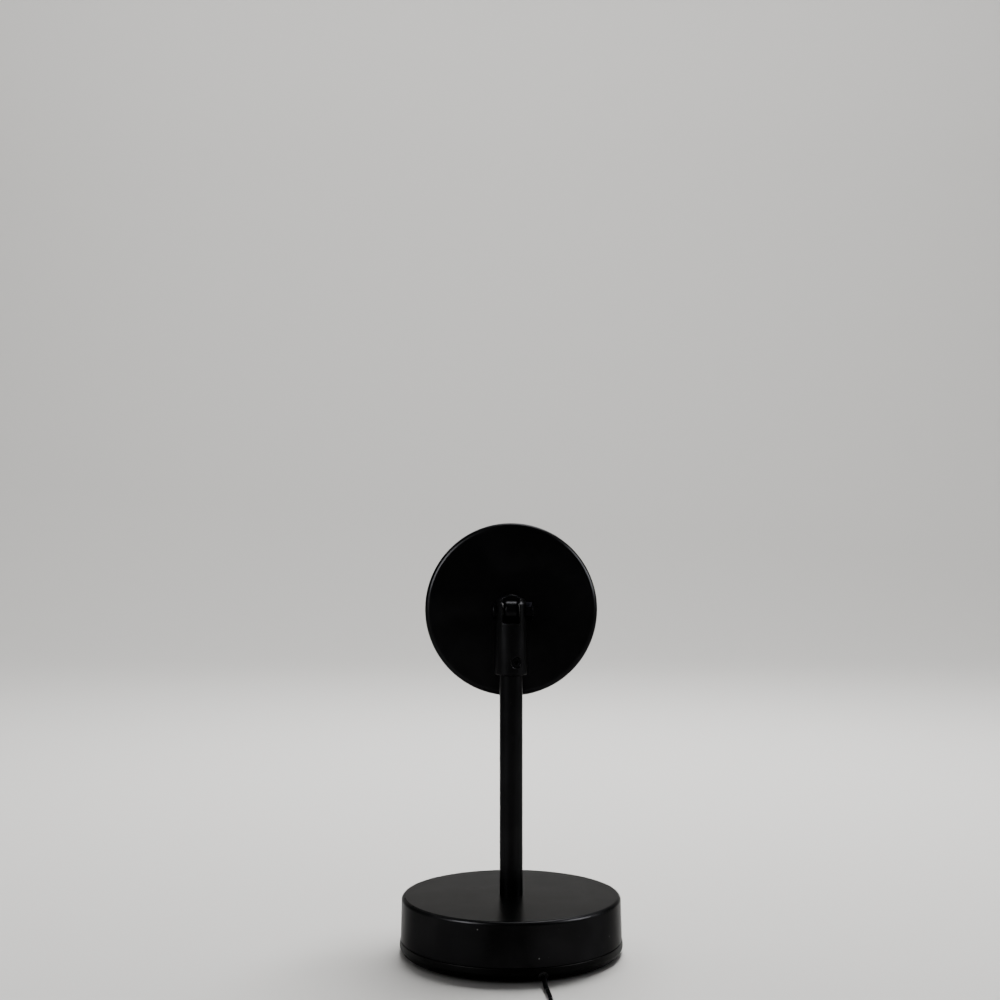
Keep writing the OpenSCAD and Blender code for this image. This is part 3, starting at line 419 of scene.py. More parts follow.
@dataclass(frozen=True)
class MouldedPlastic(Finish):
    """Moulded plastic with a fine spark-eroded grain."""

    colour: Colour = (0.002, 0.002, 0.0021)
    roughness: float = 0.42
    grain: float = 0.22 * MM
    depth: float = 0.012 * MM
    shine: float = 0.08

    def paint(self, graph: Graph) -> None:
        """Adds the mould's grain and a faint sheen from handling."""
        grain = graph.noise(self.grain, 2)
        rubbed = graph.noise(14 * MM, 2, warp=0.4).between(0.4, 0.75)
        graph.surface(
            base_color=graph.shades(grain, self.colour, 1.6),
            roughness=grain * 0.1 + (self.roughness - 0.05) - rubbed * 0.1,
            normal=graph.bump(grain, self.depth),
            specular_ior_level=self.shine,
        )


@dataclass(frozen=True)
class SoftRubber(Finish):
    """Matt rubber or flexible vinyl, with a dry bloom on it."""

    colour: Colour = (0.0025, 0.0025, 0.0025)
    roughness: float = 0.62

    def paint(self, graph: Graph) -> None:
        """Adds the bloom and a fine texture."""
        bloom = graph.noise(4 * MM, 4, warp=0.5).between(0.45, 0.8)
        grain = graph.noise(0.3 * MM, 2)
        graph.surface(
            base_color=graph.shades(bloom * 0.6, self.colour, 2.4),
            roughness=bloom * 0.15 + (self.roughness - 0.08),
            normal=graph.bump(grain, 0.014 * MM),
            specular_ior_level=0.08,
        )


@dataclass(frozen=True)
class CordJacket(Finish):
    """Glossy vinyl jacket of a thin cord, with the faint swell of its cores."""

    colour: Colour = (0.0025, 0.0025, 0.0027)

    def paint(self, graph: Graph) -> None:
        """Adds the swell, faint rubs and a few specks of dust."""
        swell = graph.noise(3.2 * MM, 2)
        rub = graph.noise(7 * MM, 3, warp=0.3).between(0.5, 0.8)
        dust = graph.specks(3.6 * MM, 0.09 * MM, 0.25)
        graph.surface(
            base_color=graph.mix((rub * 0.35).largest(dust), self.colour, (0.03, 0.03, 0.03)),
            roughness=rub * 0.16 + dust * 0.3 + 0.24,
            normal=graph.bump(swell, 0.05 * MM),
            specular_ior_level=0.12,
        )


@dataclass(frozen=True)
class ClearGlass(Finish):
    """Optical glass, with a coating's tint and a trace of dust."""

    tint: Colour = (0.985, 0.995, 1.0)
    dust: float = 0.12

    def paint(self, graph: Graph) -> None:
        """Adds the dust on the clear glass."""
        dust = graph.specks(4.2 * MM, 0.09 * MM, self.dust)
        wipe = graph.noise(16 * MM, 3, warp=1.2).between(0.55, 0.8)
        graph.surface(
            base_color=graph.mix(dust * 0.4, self.tint, (0.7, 0.7, 0.7)),
            roughness=dust * 0.4 + wipe * 0.03 + 0.01,
            transmission_weight=1.0,
            ior=1.5,
        )


@dataclass(frozen=True)
class SunsetFilter(Finish):
    """Filter glass: yellow in the middle, then orange, and red at its edge."""

    centre: Point = (0, 50 * MM, HINGE_HEIGHT)
    radius: float = 24.6 * MM
    stops: ClassVar[list[tuple[float, Colour]]] = [
        (0.0, (1.0, 0.62, 0.08)), (0.5, (1.0, 0.36, 0.02)),
        (0.8, (0.95, 0.14, 0.02)), (1.0, (0.6, 0.03, 0.05)),
    ]

    def paint(self, graph: Graph) -> None:
        """Adds the colours by their distance from the middle, and a painted glow in them."""
        spread = graph.distance(self.centre, Axis.Y) * (1 / self.radius)
        cloud = graph.noise(9 * MM, 2) * 0.06 - 0.03
        ramp = graph.node("ValToRGB", {"stops": self.stops}, {"Fac": spread + cloud})
        graph.surface(
            base_color=ramp.outputs["Color"],
            roughness=0.03,
            transmission_weight=0.8,
            ior=1.5,
            # painted glow: the filter gives off its own colours faintly, as if lit from behind
            emission_color=ramp.outputs["Color"],
            emission_strength=0.18,
        )


@dataclass(frozen=True)
class Phosphor(Finish):
    """The yellow phosphor of the lamp's chip, in its pale frame."""

    centre: Point = (0, 42 * MM, HINGE_HEIGHT)
    half: float = 3.0 * MM

    def paint(self, graph: Graph) -> None:
        """Adds the yellow window and the grain of the phosphor."""
        inside = graph.distance(self.centre, Axis.Y).between(self.half * 1.04, self.half * 0.98)
        grain = graph.noise(0.2 * MM, 3)
        graph.surface(
            base_color=graph.mix(inside, (0.75, 0.74, 0.7), (0.92, 0.68, 0.08)),
            roughness=grain * 0.2 + 0.3,
            emission_color=graph.mix(inside, (0.0, 0.0, 0.0), (1.0, 0.62, 0.18)),
            emission_strength=1.6,
            normal=graph.bump(grain, 0.02 * MM),
        )


@dataclass(frozen=True)
class PrintedBoard(Finish):
    """A printed circuit board, with tracks under its lacquer."""

    lacquer: Colour = (0.01, 0.09, 0.035)
    track: Colour = (0.03, 0.2, 0.08)
    pitch: float = 1.7 * MM

    def paint(self, graph: Graph) -> None:
        """Adds the tracks, as the borders of square cells."""
        tracks = graph.node(
            "TexVoronoi",
            {"feature": "DISTANCE_TO_EDGE"},
            {"Vector": graph.place(), "Scale": 1 / self.pitch, "Randomness": 0.55},
        )
        line = Signal(graph, tracks.outputs["Distance"]).between(0.1, 0.07)
        graph.surface(
            base_color=graph.mix(line, self.lacquer, self.track),
            roughness=0.34 + line * 0.08,
            normal=graph.bump(line, 0.03 * MM),
        )


@dataclass(frozen=True)
class PaleInsulator(Finish):
    """Off-white insulating plastic, a little uneven."""

    colour: Colour = (0.72, 0.71, 0.67)
    roughness: float = 0.42

    def paint(self, graph: Graph) -> None:
        """Adds the flow of the moulding."""
        flow = graph.noise(2.4 * MM, 3, warp=0.8)
        graph.surface(
            base_color=graph.shades(flow, self.colour, 0.9),
            roughness=flow * 0.1 + (self.roughness - 0.05),
            normal=graph.bump(graph.noise(0.3 * MM, 1), 0.006 * MM),
        )


@dataclass(frozen=True)
class StudioPaper(Finish):
    """Pale matt paper of the studio floor."""

    colour: Colour = (0.62, 0.61, 0.59)

    def paint(self, graph: Graph) -> None:
        """Adds the paper's tooth."""
        tooth = graph.noise(1.1 * MM, 3)
        graph.surface(
            base_color=graph.shades(tooth, self.colour, 0.97),
            roughness=0.85,
            specular_ior_level=0.15,
            normal=graph.bump(tooth, 0.02 * MM),
        )


FINISH_OF_SLOT: dict[str, Finish] = {
    "black_powder_coat": PowderCoat("powder_coat"),
    "black_oxide_steel": DarkSteel("dark_steel"),
    "zinc_steel": TurnedMetal("zinc_plate", (0.62, 0.63, 0.64), 0.32),
    "cast_iron": CastMetal("rough_iron", (0.22, 0.21, 0.2), 0.55),
    "cast_aluminium": CastMetal("pale_casting", (0.72, 0.73, 0.74), 0.42),
    "brass_strip": BrushedMetal("brass_sheet", (0.74, 0.54, 0.24), 0.3),
    "gold_contact": BrushedMetal("gold_plate", (0.9, 0.62, 0.25), 0.22),
    "nickel_plate": BrushedMetal("nickel_plate", (0.63, 0.61, 0.58), 0.24),
    "black_moulded_plastic": MouldedPlastic("base_plastic", (0.0009, 0.0009, 0.001), shine=0.03),
    "black_matte_plastic": MouldedPlastic(
        "matt_plastic", (0.004, 0.004, 0.004), 0.7, 0.3 * MM, 0.02 * MM
    ),
    "rocker_plastic": MouldedPlastic(
        "rocker_plastic", (0.006, 0.006, 0.0065), 0.48, 0.4 * MM, 0.004 * MM
    ),
    "black_nylon": MouldedPlastic("black_nylon", (0.006, 0.006, 0.006), 0.5, 0.25 * MM),
    "black_component": MouldedPlastic("component_body", (0.012, 0.012, 0.0125), 0.5),
    "black_pad_rubber": SoftRubber("pad_rubber", (0.006, 0.006, 0.006), 0.75),
    "black_rubber": SoftRubber("bush_rubber"),
    "plug_moulding": SoftRubber("plug_vinyl", (0.005, 0.005, 0.0052), 0.5),
    "tie_strap": SoftRubber("strap_vinyl", (0.009, 0.009, 0.0094), 0.55),
    "wire_insulation": SoftRubber("wire_vinyl", (0.45, 0.03, 0.02), 0.4),
    "cord_jacket": CordJacket("cord_vinyl"),
    "circuit_board": PrintedBoard("green_board"),
    "white_board": PrintedBoard("pale_board", (0.78, 0.78, 0.76), (0.66, 0.66, 0.63), 4 * MM),
    "led_phosphor": Phosphor("phosphor"),
    "clear_lens": ClearGlass("plain_glass"),
    "coated_lens": ClearGlass("coated_glass", (0.97, 0.99, 1.0), 0.2),
    "amber_filter": SunsetFilter("filter_glass"),
    "white_insulator": PaleInsulator("pale_insulator"),
}

SLOT_OF_NODE: dict[str, str] = {
    name: node.data.materials[0].name for name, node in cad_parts.items()
}


# ---- Shapes ----


def paint(piece: bpy.types.Object, slot: str) -> None:
    """Gives a piece the finish of a slot."""
    piece.data.materials.clear()
    piece.data.materials.append(FINISH_OF_SLOT[slot].material())


def keep(
    piece: bpy.types.Object, body: str, slot: str, stands_for: Iterable[str] = ()
) -> bpy.types.Object:
    """Gives a piece its finish and its body, and hides the nodes that it stands for.

    Args:
        piece: The piece, in place.
        body: The body that it rides on.
        slot: The record's material slot.
        stands_for: The nodes that it replaces.

    Returns:
        The piece.
    """
    paint(piece, slot)
    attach(piece, body)
    if stands_for:
        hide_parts(*stands_for)
    log.info("%s rides on %s", piece.name, body)
    return piece


def swap(piece: bpy.types.Object, body: str, node: str) -> bpy.types.Object:
    """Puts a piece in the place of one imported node, under the node's slot."""
    return keep(piece, body, SLOT_OF_NODE[node], (node,))


class Shape:
    """A mesh in the making, on the mesh operators."""

    def __init__(self) -> None:
        """Starts an empty mesh."""
        self.bm = bmesh.new()

    @classmethod
    def from_node(cls, node: str) -> "Shape":
        """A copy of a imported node, with its loose triangles joined up."""
        made = cls()
        made.bm.from_mesh(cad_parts[node].data)
        bmesh.ops.remove_doubles(made.bm, verts=made.bm.verts, dist=WELD)
        bmesh.ops.dissolve_limit(
            made.bm, angle_limit=math.radians(FLAT_ANGLE), verts=made.bm.verts,
            edges=made.bm.edges,
        )
        return made

    @classmethod
    def turned(cls, outline: Sequence[tuple[float, float]], steps: int) -> "Shape":
        """A piece turned on the Z axis.

        Args:
            outline: The closed outline's radius and height at each corner.
            steps: The number of steps round the axis.

        Returns:
            The shape.
        """
        made = cls()
        bm = made.bm
        corners = [bm.verts.new((r, 0, z)) for r, z in outline]
        edges = [bm.edges.new((a, b)) for a, b in zip(corners, corners[1:] + corners[:1])]
        bmesh.ops.spin(
            bm, geom=corners + edges, cent=(0, 0, 0), axis=(0, 0, 1), angle=math.tau,
            steps=steps, use_merge=True,
        )
        return made.tidy()

    @classmethod
    def rib(cls, radius: float, bump: float) -> "Shape":
        """A rib on the Z axis that stands out of a neck of that radius by its bump."""
        arc = [
            (radius + bump * math.sin(math.radians(a)), -bump * math.cos(math.radians(a)))
            for a in range(0, 181, RIB_ARC_STEP)
        ]
        return cls.turned([(radius - bump, -bump), *arc, (radius - bump, bump)], RIB_STEPS)

    @classmethod
    def bar(cls, size: Point) -> "Shape":
        """A block of a given size on the origin, to be shaped further."""
        made = cls()
        bmesh.ops.create_cube(made.bm, size=1)
        bmesh.ops.scale(made.bm, vec=size, verts=made.bm.verts)
        return made

    @classmethod
    def thread(
        cls, radius: float, pitch: float, turns: float, height: float,
        fill: float = 0.42, steps_a_turn: int = 24,
    ) -> "Shape":
        """The ridge of a screw thread, which winds up the Z axis.

        Args:
            radius: The thread's root radius.
            pitch: The climb in one turn.
            turns: The number of turns.
            height: How far the ridge stands out.
            fill: Half the ridge's width at its root, as a part of the pitch.
            steps_a_turn: The number of steps in one turn.

        Returns:
            The shape.
        """
        made = cls()
        bm = made.bm
        half = pitch * fill
        root = [bm.verts.new(at) for at in ((radius, 0, -half), (radius, 0, half))]
        crest = bm.verts.new((radius + height, 0, 0))
        base = bm.verts.new((radius - height, 0, 0))
        face = bm.faces.new((root[0], crest, root[1], base))
        steps = round(steps_a_turn * turns)
        bmesh.ops.spin(
            bm, geom=[face, *face.verts, *face.edges], cent=(0, 0, 0), axis=(0, 0, 1),
            angle=math.tau * turns, dvec=(0, 0, pitch * turns / steps), steps=steps,
        )
        return made.tidy()

    def tidy(self) -> "Shape":
        """Merges doubled corners and turns all faces outwards."""
        bmesh.ops.remove_doubles(self.bm, verts=self.bm.verts, dist=WELD)
        bmesh.ops.recalc_face_normals(self.bm, faces=self.bm.faces)
        return self

    def move(self, by: Point) -> "Shape":
        """Shifts the shape."""
        bmesh.ops.translate(self.bm, vec=by, verts=self.bm.verts)
        return self

    def turn(self, degrees: float, axis: Axis) -> "Shape":
        """Turns the shape about an axis through the origin."""
        bmesh.ops.rotate(
            self.bm, cent=(0, 0, 0), verts=self.bm.verts,
            matrix=Matrix.Rotation(math.radians(degrees), 3, axis.direction),
        )
        return self

    def add(self, other: "Shape") -> "Shape":
        """Takes in another shape."""
        spare = bpy.data.meshes.new("spare")
        other.bm.to_mesh(spare)
        other.bm.free()
        self.bm.from_mesh(spare)
        bpy.data.meshes.remove(spare)
        return self

    def soften(
        self,
        width: float,
        segments: int = 2,
        where: Callable[[Vector], bool] = lambda at: True,
    ) -> "Shape":
        """Rounds the sharp edges.

        Args:
            width: How wide the rounded edge is.
            segments: How many faces go across it.
            where: Tells if an edge's end is in the part to be rounded.

        Returns:
            This shape.
        """
        least = math.radians(SHARP_ANGLE)
        edges = [
            e for e in self.bm.edges
            if e.is_manifold and e.calc_face_angle() > least and all(where(v.co) for v in e.verts)
        ]
        bmesh.ops.bevel(
            self.bm, geom=edges, offset=width, segments=segments, profile=0.5,
            affect="EDGES", clamp_overlap=False, material=-1,
        )
        return self

    def piece(self, name: str) -> bpy.types.Object:
        """Turns the shape into a named object at the origin."""
        mesh = bpy.data.meshes.new(name)
        self.bm.to_mesh(mesh)
        self.bm.free()
        mesh.shade_smooth()
        mesh.set_sharp_from_angle(angle=math.radians(CREASE_ANGLE))
        made = bpy.data.objects.new(name, mesh)
        bpy.context.scene.collection.objects.link(made)
        weigh = made.modifiers.new("weigh", "WEIGHTED_NORMAL")
        weigh.keep_sharp = True
        return made


def round_edges(body: str, widths: dict[str, float]) -> None:
    """Replaces a body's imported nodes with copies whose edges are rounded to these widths."""
    for node, width in widths.items():
        swap(Shape.from_node(node).soften(width).piece("soft_" + node), body, node)


# ---- Studio ----


class Sky(Graph):
    """The nodes of the light all round."""

    def __init__(self, name: str) -> None:
        """Makes the named world, with its background shader."""
        world = bpy.data.worlds.new(name)
        world.use_nodes = True
        self.tree = world.node_tree
        self.shader = self.tree.nodes["Background"]
        bpy.context.scene.world = world

    def fill(self, seen: Colour, dim: Colour, bright: Colour) -> None:
        """Sets what the eye sees behind the lamp and what lights it.

        Args:
            seen: The plain background.
            dim: The light from the camera's side.
            bright: The light from the far side.
        """
        way = self.node("TexCoord").outputs["Generated"]
        _, ahead, _ = self.parts(way)
        light = self.mix(ahead.between(-0.15, 0.85), dim, bright)
        looked_at = self.node("LightPath").outputs["Is Camera Ray"]
        self.feed(self.shader.inputs["Color"], self.mix(Signal(self, looked_at), light, seen))


@dataclass
class Softbox:
    """One rectangular light, aimed at the lamp or at another place."""

    name: str
    side: float
    height: float
    far: float
    size: tuple[float, float]
    watts: float
    aim: Point = (0, 0, 0.08)
    glints_only: bool = False

    def hang(self) -> None:
        """Puts the light in its place."""
        data = bpy.data.lights.new(self.name, "AREA")
        data.shape = "RECTANGLE"
        data.size, data.size_y = self.size
        data.energy = self.watts
        a, e = math.radians(self.side), math.radians(self.height)
        away = Vector((math.sin(a) * math.cos(e), -math.cos(a) * math.cos(e), math.sin(e)))
        light = bpy.data.objects.new(self.name, data)
        light.location = Vector(self.aim) + away * self.far
        light.rotation_euler = away.to_track_quat("Z", "Y").to_euler()
        light.visible_diffuse = not self.glints_only
        bpy.context.scene.collection.objects.link(light)


@dataclass
class Studio:
    """The floor, the lights and the camera."""

    camera_back: float = 0.599
    camera_height: float = 0.1689
    pitch_up: float = 2.443
    turn_left: float = 0.462
    focal_length: float = 49.35
    sensor_width: float = 36
    clip_start: float = 0.01
    floor_half: float = 5.0
    floor_near: float = -3.0
    floor_far: float = 1.6
    cove_radius: float = 1.2
    cove_steps: int = 32
    wall_height: float = 3.0
    lights: ClassVar[list[Softbox]] = [
        Softbox("left_box", -52, 28, 0.9, (0.28, 0.42), 15, glints_only=True),
        Softbox("right_box", 80, 30, 0.9, (0.3, 0.5), 18, glints_only=True),
        Softbox("top_box", 165, 62, 1.2, (0.6, 0.6), 30),
        Softbox("wall_box", 0, 42, 2.2, (4.0, 0.5), 70, (0, 2.8, 0.5)),
    ]

    def build(self) -> None:
        """Makes the camera, the floor and the lights."""
        self._camera()
        self._floor()
        for light in self.lights:
            light.hang()
        Sky("studio_light").fill((0.62, 0.62, 0.61), (0.08, 0.08, 0.083), (0.6, 0.6, 0.6))
        log.info("studio is set")

    def _camera(self) -> None:
        """Puts the camera behind the lamp, near the height of its head."""
        data = bpy.data.cameras.new("camera")
        data.lens = self.focal_length
        data.sensor_width = self.sensor_width
        data.clip_start = self.clip_start
        camera = bpy.data.objects.new("camera", data)
        camera.location = (0, -self.camera_back, self.camera_height)
        camera.rotation_euler = (
            math.radians(90 + self.pitch_up), 0, math.radians(self.turn_left)
        )
        bpy.context.scene.collection.objects.link(camera)
        bpy.context.scene.camera = camera

    def _floor(self) -> None:
        """Makes the pale floor, which curves up into the wall behind the lamp."""
        bm = bmesh.new()
        start = bm.verts.new((-self.floor_half, self.floor_near, 0))
        bend = bm.verts.new((-self.floor_half, self.floor_far, 0))
        bm.edges.new((start, bend))
        swept = bmesh.ops.spin(
            bm, geom=[bend], cent=(0, self.floor_far, self.cove_radius), axis=(1, 0, 0),
            angle=math.pi / 2, steps=self.cove_steps,
        )["geom_last"]
        top = bmesh.ops.extrude_vert_indiv(bm, verts=swept)["verts"]
        bmesh.ops.translate(bm, vec=(0, 0, self.wall_height), verts=top)
        side = bmesh.ops.extrude_edge_only(bm, edges=bm.edges[:])["geom"]
        corners = [v for v in side if isinstance(v, bmesh.types.BMVert)]
        bmesh.ops.translate(bm, vec=(2 * self.floor_half, 0, 0), verts=corners)
        bmesh.ops.recalc_face_normals(bm, faces=bm.faces)
        mesh = bpy.data.meshes.new("floor")
        bm.to_mesh(mesh)
        bm.free()
        mesh.shade_smooth()
        mesh.materials.append(StudioPaper("studio_paper").material())
        floor = bpy.data.objects.new("floor", mesh)
        bpy.context.scene.collection.objects.link(floor)


# ---- Lamp ----


@dataclass
class Base:
    """The cover, the bottom plate and what shows under it."""

    pad_radius: float = 41.6 * MM
    pad_thickness: float = 1.2 * MM
    pad_edge: float = 0.25 * MM
    pad_steps: int = 128
    widths: ClassVar[dict[str, float]] = {
        "base_plate": 0.15 * MM, "cord_grommet": 0.2 * MM, "plate_screws": 0.08 * MM,
    }

    def build(self) -> None:
        """Rounds the plate's edges and makes the pad."""
        round_edges("stand", self.widths)
        r, e, top = self.pad_radius, self.pad_edge, self.pad_thickness
        outline = [(0, 0), (r - e, 0), (r - 0.3 * e, 0.3 * e), (r, e), (r, top), (0, top)]
        swap(Shape.turned(outline, self.pad_steps).piece("rubber_pad"), "stand", "base_pad")


@dataclass
class TiltJoint:
    """The sleeve with its ears, the tongue between them and the hinge screw."""

    height: float = HINGE_HEIGHT
    slot_half: float = 3.75 * MM
    slot_low: float = 141.6 * MM
    screw_room: float = 2.4 * MM
    ear_reach: float = 5.2 * MM
    rim_room: float = 0.3 * MM
    near: float = 0.01 * MM
    ear_width: float = 0.5 * MM
    ear_segments: int = 4
    sleeve_width: float = 0.2 * MM
    screw_radius: float = 1.98 * MM
    thread_from: float = 8.8 * MM
    thread_pitch: float = 0.7 * MM
    thread_turns: float = 1.3
    thread_depth: float = 0.12 * MM
    stand_widths: ClassVar[dict[str, float]] = {
        "hinge_screw": 0.12 * MM, "hinge_nut": 0.18 * MM, "grub_screw": 0.12 * MM,
    }
    head_widths: ClassVar[dict[str, float]] = {"joint_tongue": 0.18 * MM}

    def build(self) -> None:
        """Rounds the edges and winds the thread that shows past the nut."""
        round_edges("stand", self.stand_widths)
        round_edges("head", self.head_widths)
        fork = Shape.from_node("joint_fork")
        fork.soften(self.ear_width, self.ear_segments, self._beside_slot)
        fork.soften(self.sleeve_width, where=self._off_slot)
        swap(fork.piece("soft_joint_fork"), "stand", "joint_fork")
        thread = Shape.thread(
            self.screw_radius, self.thread_pitch, self.thread_turns, self.thread_depth
        )
        thread.turn(90, Axis.Y).move((self.thread_from, 0, self.height))
        keep(thread.piece("hinge_thread"), "stand", "black_oxide_steel")

    def _beside_slot(self, at: Vector) -> bool:
        """Tells if a place is on the rim of the ears' inner faces."""
        off_screw = math.hypot(at.y, at.z - self.height) > self.screw_room
        on_face = self.slot_half - self.near < abs(at.x) < self.slot_half + self.near
        return off_screw and on_face and at.z > self.slot_low - self.near

    def _off_slot(self, at: Vector) -> bool:
        """Tells if a place is clear of the slot and its rounded rims."""
        return abs(at.x) > self.ear_reach or at.z < self.slot_low - self.rim_room


@dataclass
class Head:
    """The drum, its front ring and its lens. The ring's outline is in millimetres."""

    height: float = HINGE_HEIGHT
    ring_outline: ClassVar[list[tuple[float, float]]] = [
        (24.3, 55.8), (24.3, 57.3), (37, 60.8), (38.2, 60.8), (38.5, 60.74),
        (38.77, 60.56), (38.94, 60.3), (39, 60), (39, 59), (37.75, 59), (37.75, 53),
        (36.15, 53), (36.15, 57.3), (28.8, 55.8),
    ]
    ring_width: float = 0.12 * MM
    ring_steps: int = 160
    widths: ClassVar[dict[str, float]] = {"head_shell": 0.12 * MM, "projection_lens": 0.12 * MM}

    def build(self) -> None:
        """Rounds the edges that show and turns the front ring."""
        round_edges("head", self.widths)
        outline = [(r * MM, at * MM) for r, at in self.ring_outline]
        ring = Shape.turned(outline, self.ring_steps).soften(self.ring_width)
        ring.turn(-90, Axis.X).move((0, 0, self.height))
        swap(ring.piece("turned_ring"), "head", "front_ring")


@dataclass
class CordSwitch:
    """The rocker switch on the cord."""

    centre: Point = (12 * MM, -138 * MM, 5.5 * MM)
    pivot: float = 7.6 * MM
    tilt: float = 8
    dish_radius: float = 18 * MM
    dish_low: float = 2.6 * MM
    mark_at: float = 3.8 * MM
    mark_height: float = 2.4 * MM
    mark_line: float = 0.36 * MM
    mark_proud: float = 0.04 * MM
    mark_steps: int = 40
    rocker_width: float = 0.15 * MM
    neck_from: float = 17.5 * MM
    neck_ribs: int = 3
    rib_pitch: float = 1.15 * MM
    rib_radius: float = 0.3 * MM
    neck_radius: float = 2.45 * MM
    neck_taper: float = 0.195
    widths: ClassVar[dict[str, float]] = {
        "switch_base": 0.22 * MM, "switch_cover": 0.22 * MM, "switch_screws": 0.08 * MM,
    }

    def build(self) -> list[bpy.types.Object]:
        """Makes the switch, and gives back the pieces that are new."""
        round_edges("stand", self.widths)
        round_edges("rocker", {"switch_rocker": self.rocker_width})
        marks = self._marks().piece("switch_marks")
        keep(marks, "rocker", "white_insulator")
        ribs = self._ribs().piece("switch_ribs")
        keep(ribs, "stand", "black_moulded_plastic")
        return [marks, ribs]

    def _marks(self) -> Shape:
        """The line and the ring on the rocker's two ends."""
        line = Shape()
        bmesh.ops.create_grid(line.bm, x_segments=2, y_segments=8, size=0.5)
        bmesh.ops.scale(line.bm, vec=(self.mark_line, self.mark_height, 1), verts=line.bm.verts)
        line.move((-self.mark_at, 0, 0))
        ring = Shape()
        bmesh.ops.create_circle(
            ring.bm, cap_ends=True, radius=self.mark_height / 2, segments=self.mark_steps
        )
        inset = bmesh.ops.inset_region(ring.bm, faces=ring.bm.faces[:], thickness=self.mark_line)
        middle = [f for f in ring.bm.faces if f not in inset["faces"]]
        bmesh.ops.delete(ring.bm, geom=middle, context="FACES")
        ring.move((self.mark_at, 0, 0))
        marks = line.add(ring)
        raised = bmesh.ops.extrude_face_region(marks.bm, geom=marks.bm.faces[:])["geom"]
        top = [v for v in raised if isinstance(v, bmesh.types.BMVert)]
        bmesh.ops.translate(marks.bm, vec=(0, 0, 2 * self.mark_proud), verts=top)
        for corner in marks.bm.verts:
            across = math.sqrt(self.dish_radius**2 - corner.co.x**2)
            corner.co.z += self.dish_low + self.dish_radius - across - self.mark_proud
        marks.tidy().turn(-self.tilt, Axis.Y)
        return marks.move((self.centre[0], self.centre[1], self.pivot))

    def _ribs(self) -> Shape:
        """The rings round both cord necks."""
        ribs = Shape()
        for i in range(self.neck_ribs):
            past = self.rib_pitch * i
            for side in (-1, 1):
                rib = Shape.rib(self.neck_radius - self.neck_taper * past, self.rib_radius)
                ribs.add(rib.turn(90, Axis.Y).move((side * (self.neck_from + past), 0, 0)))
        return ribs.move(self.centre)


@dataclass
class Plug:
    """The low-voltage plug on the cord's end."""

    back: Point = (33 * MM, -118 * MM, 3.8 * MM)
    boot_ribs: int = 3
    first_rib: float = 0.7 * MM
    rib_pitch: float = 1.1 * MM
    rib_radius: float = 0.3 * MM
    boot_radius: float = 2.05 * MM
    boot_flare: float = 0.16
    widths: ClassVar[dict[str, float]] = {
        "plug_grip": 0.3 * MM, "plug_shell": 0.06 * MM, "plug_tongue": 0.12 * MM,
    }

    def build(self) -> list[bpy.types.Object]:
        """Makes the plug, and gives back the pieces that are new."""
        round_edges("stand", self.widths)
        ribs = Shape()
        for i in range(self.boot_ribs):
            along = self.first_rib + self.rib_pitch * i
            rib = Shape.rib(self.boot_radius + self.boot_flare * along, self.rib_radius)
            ribs.add(rib.turn(-90, Axis.Y).move((-along, 0, 0)))
        boot = ribs.move(self.back).piece("boot_ribs")
        keep(boot, "stand", "plug_moulding")
        return [boot]


# ---- Cord ----


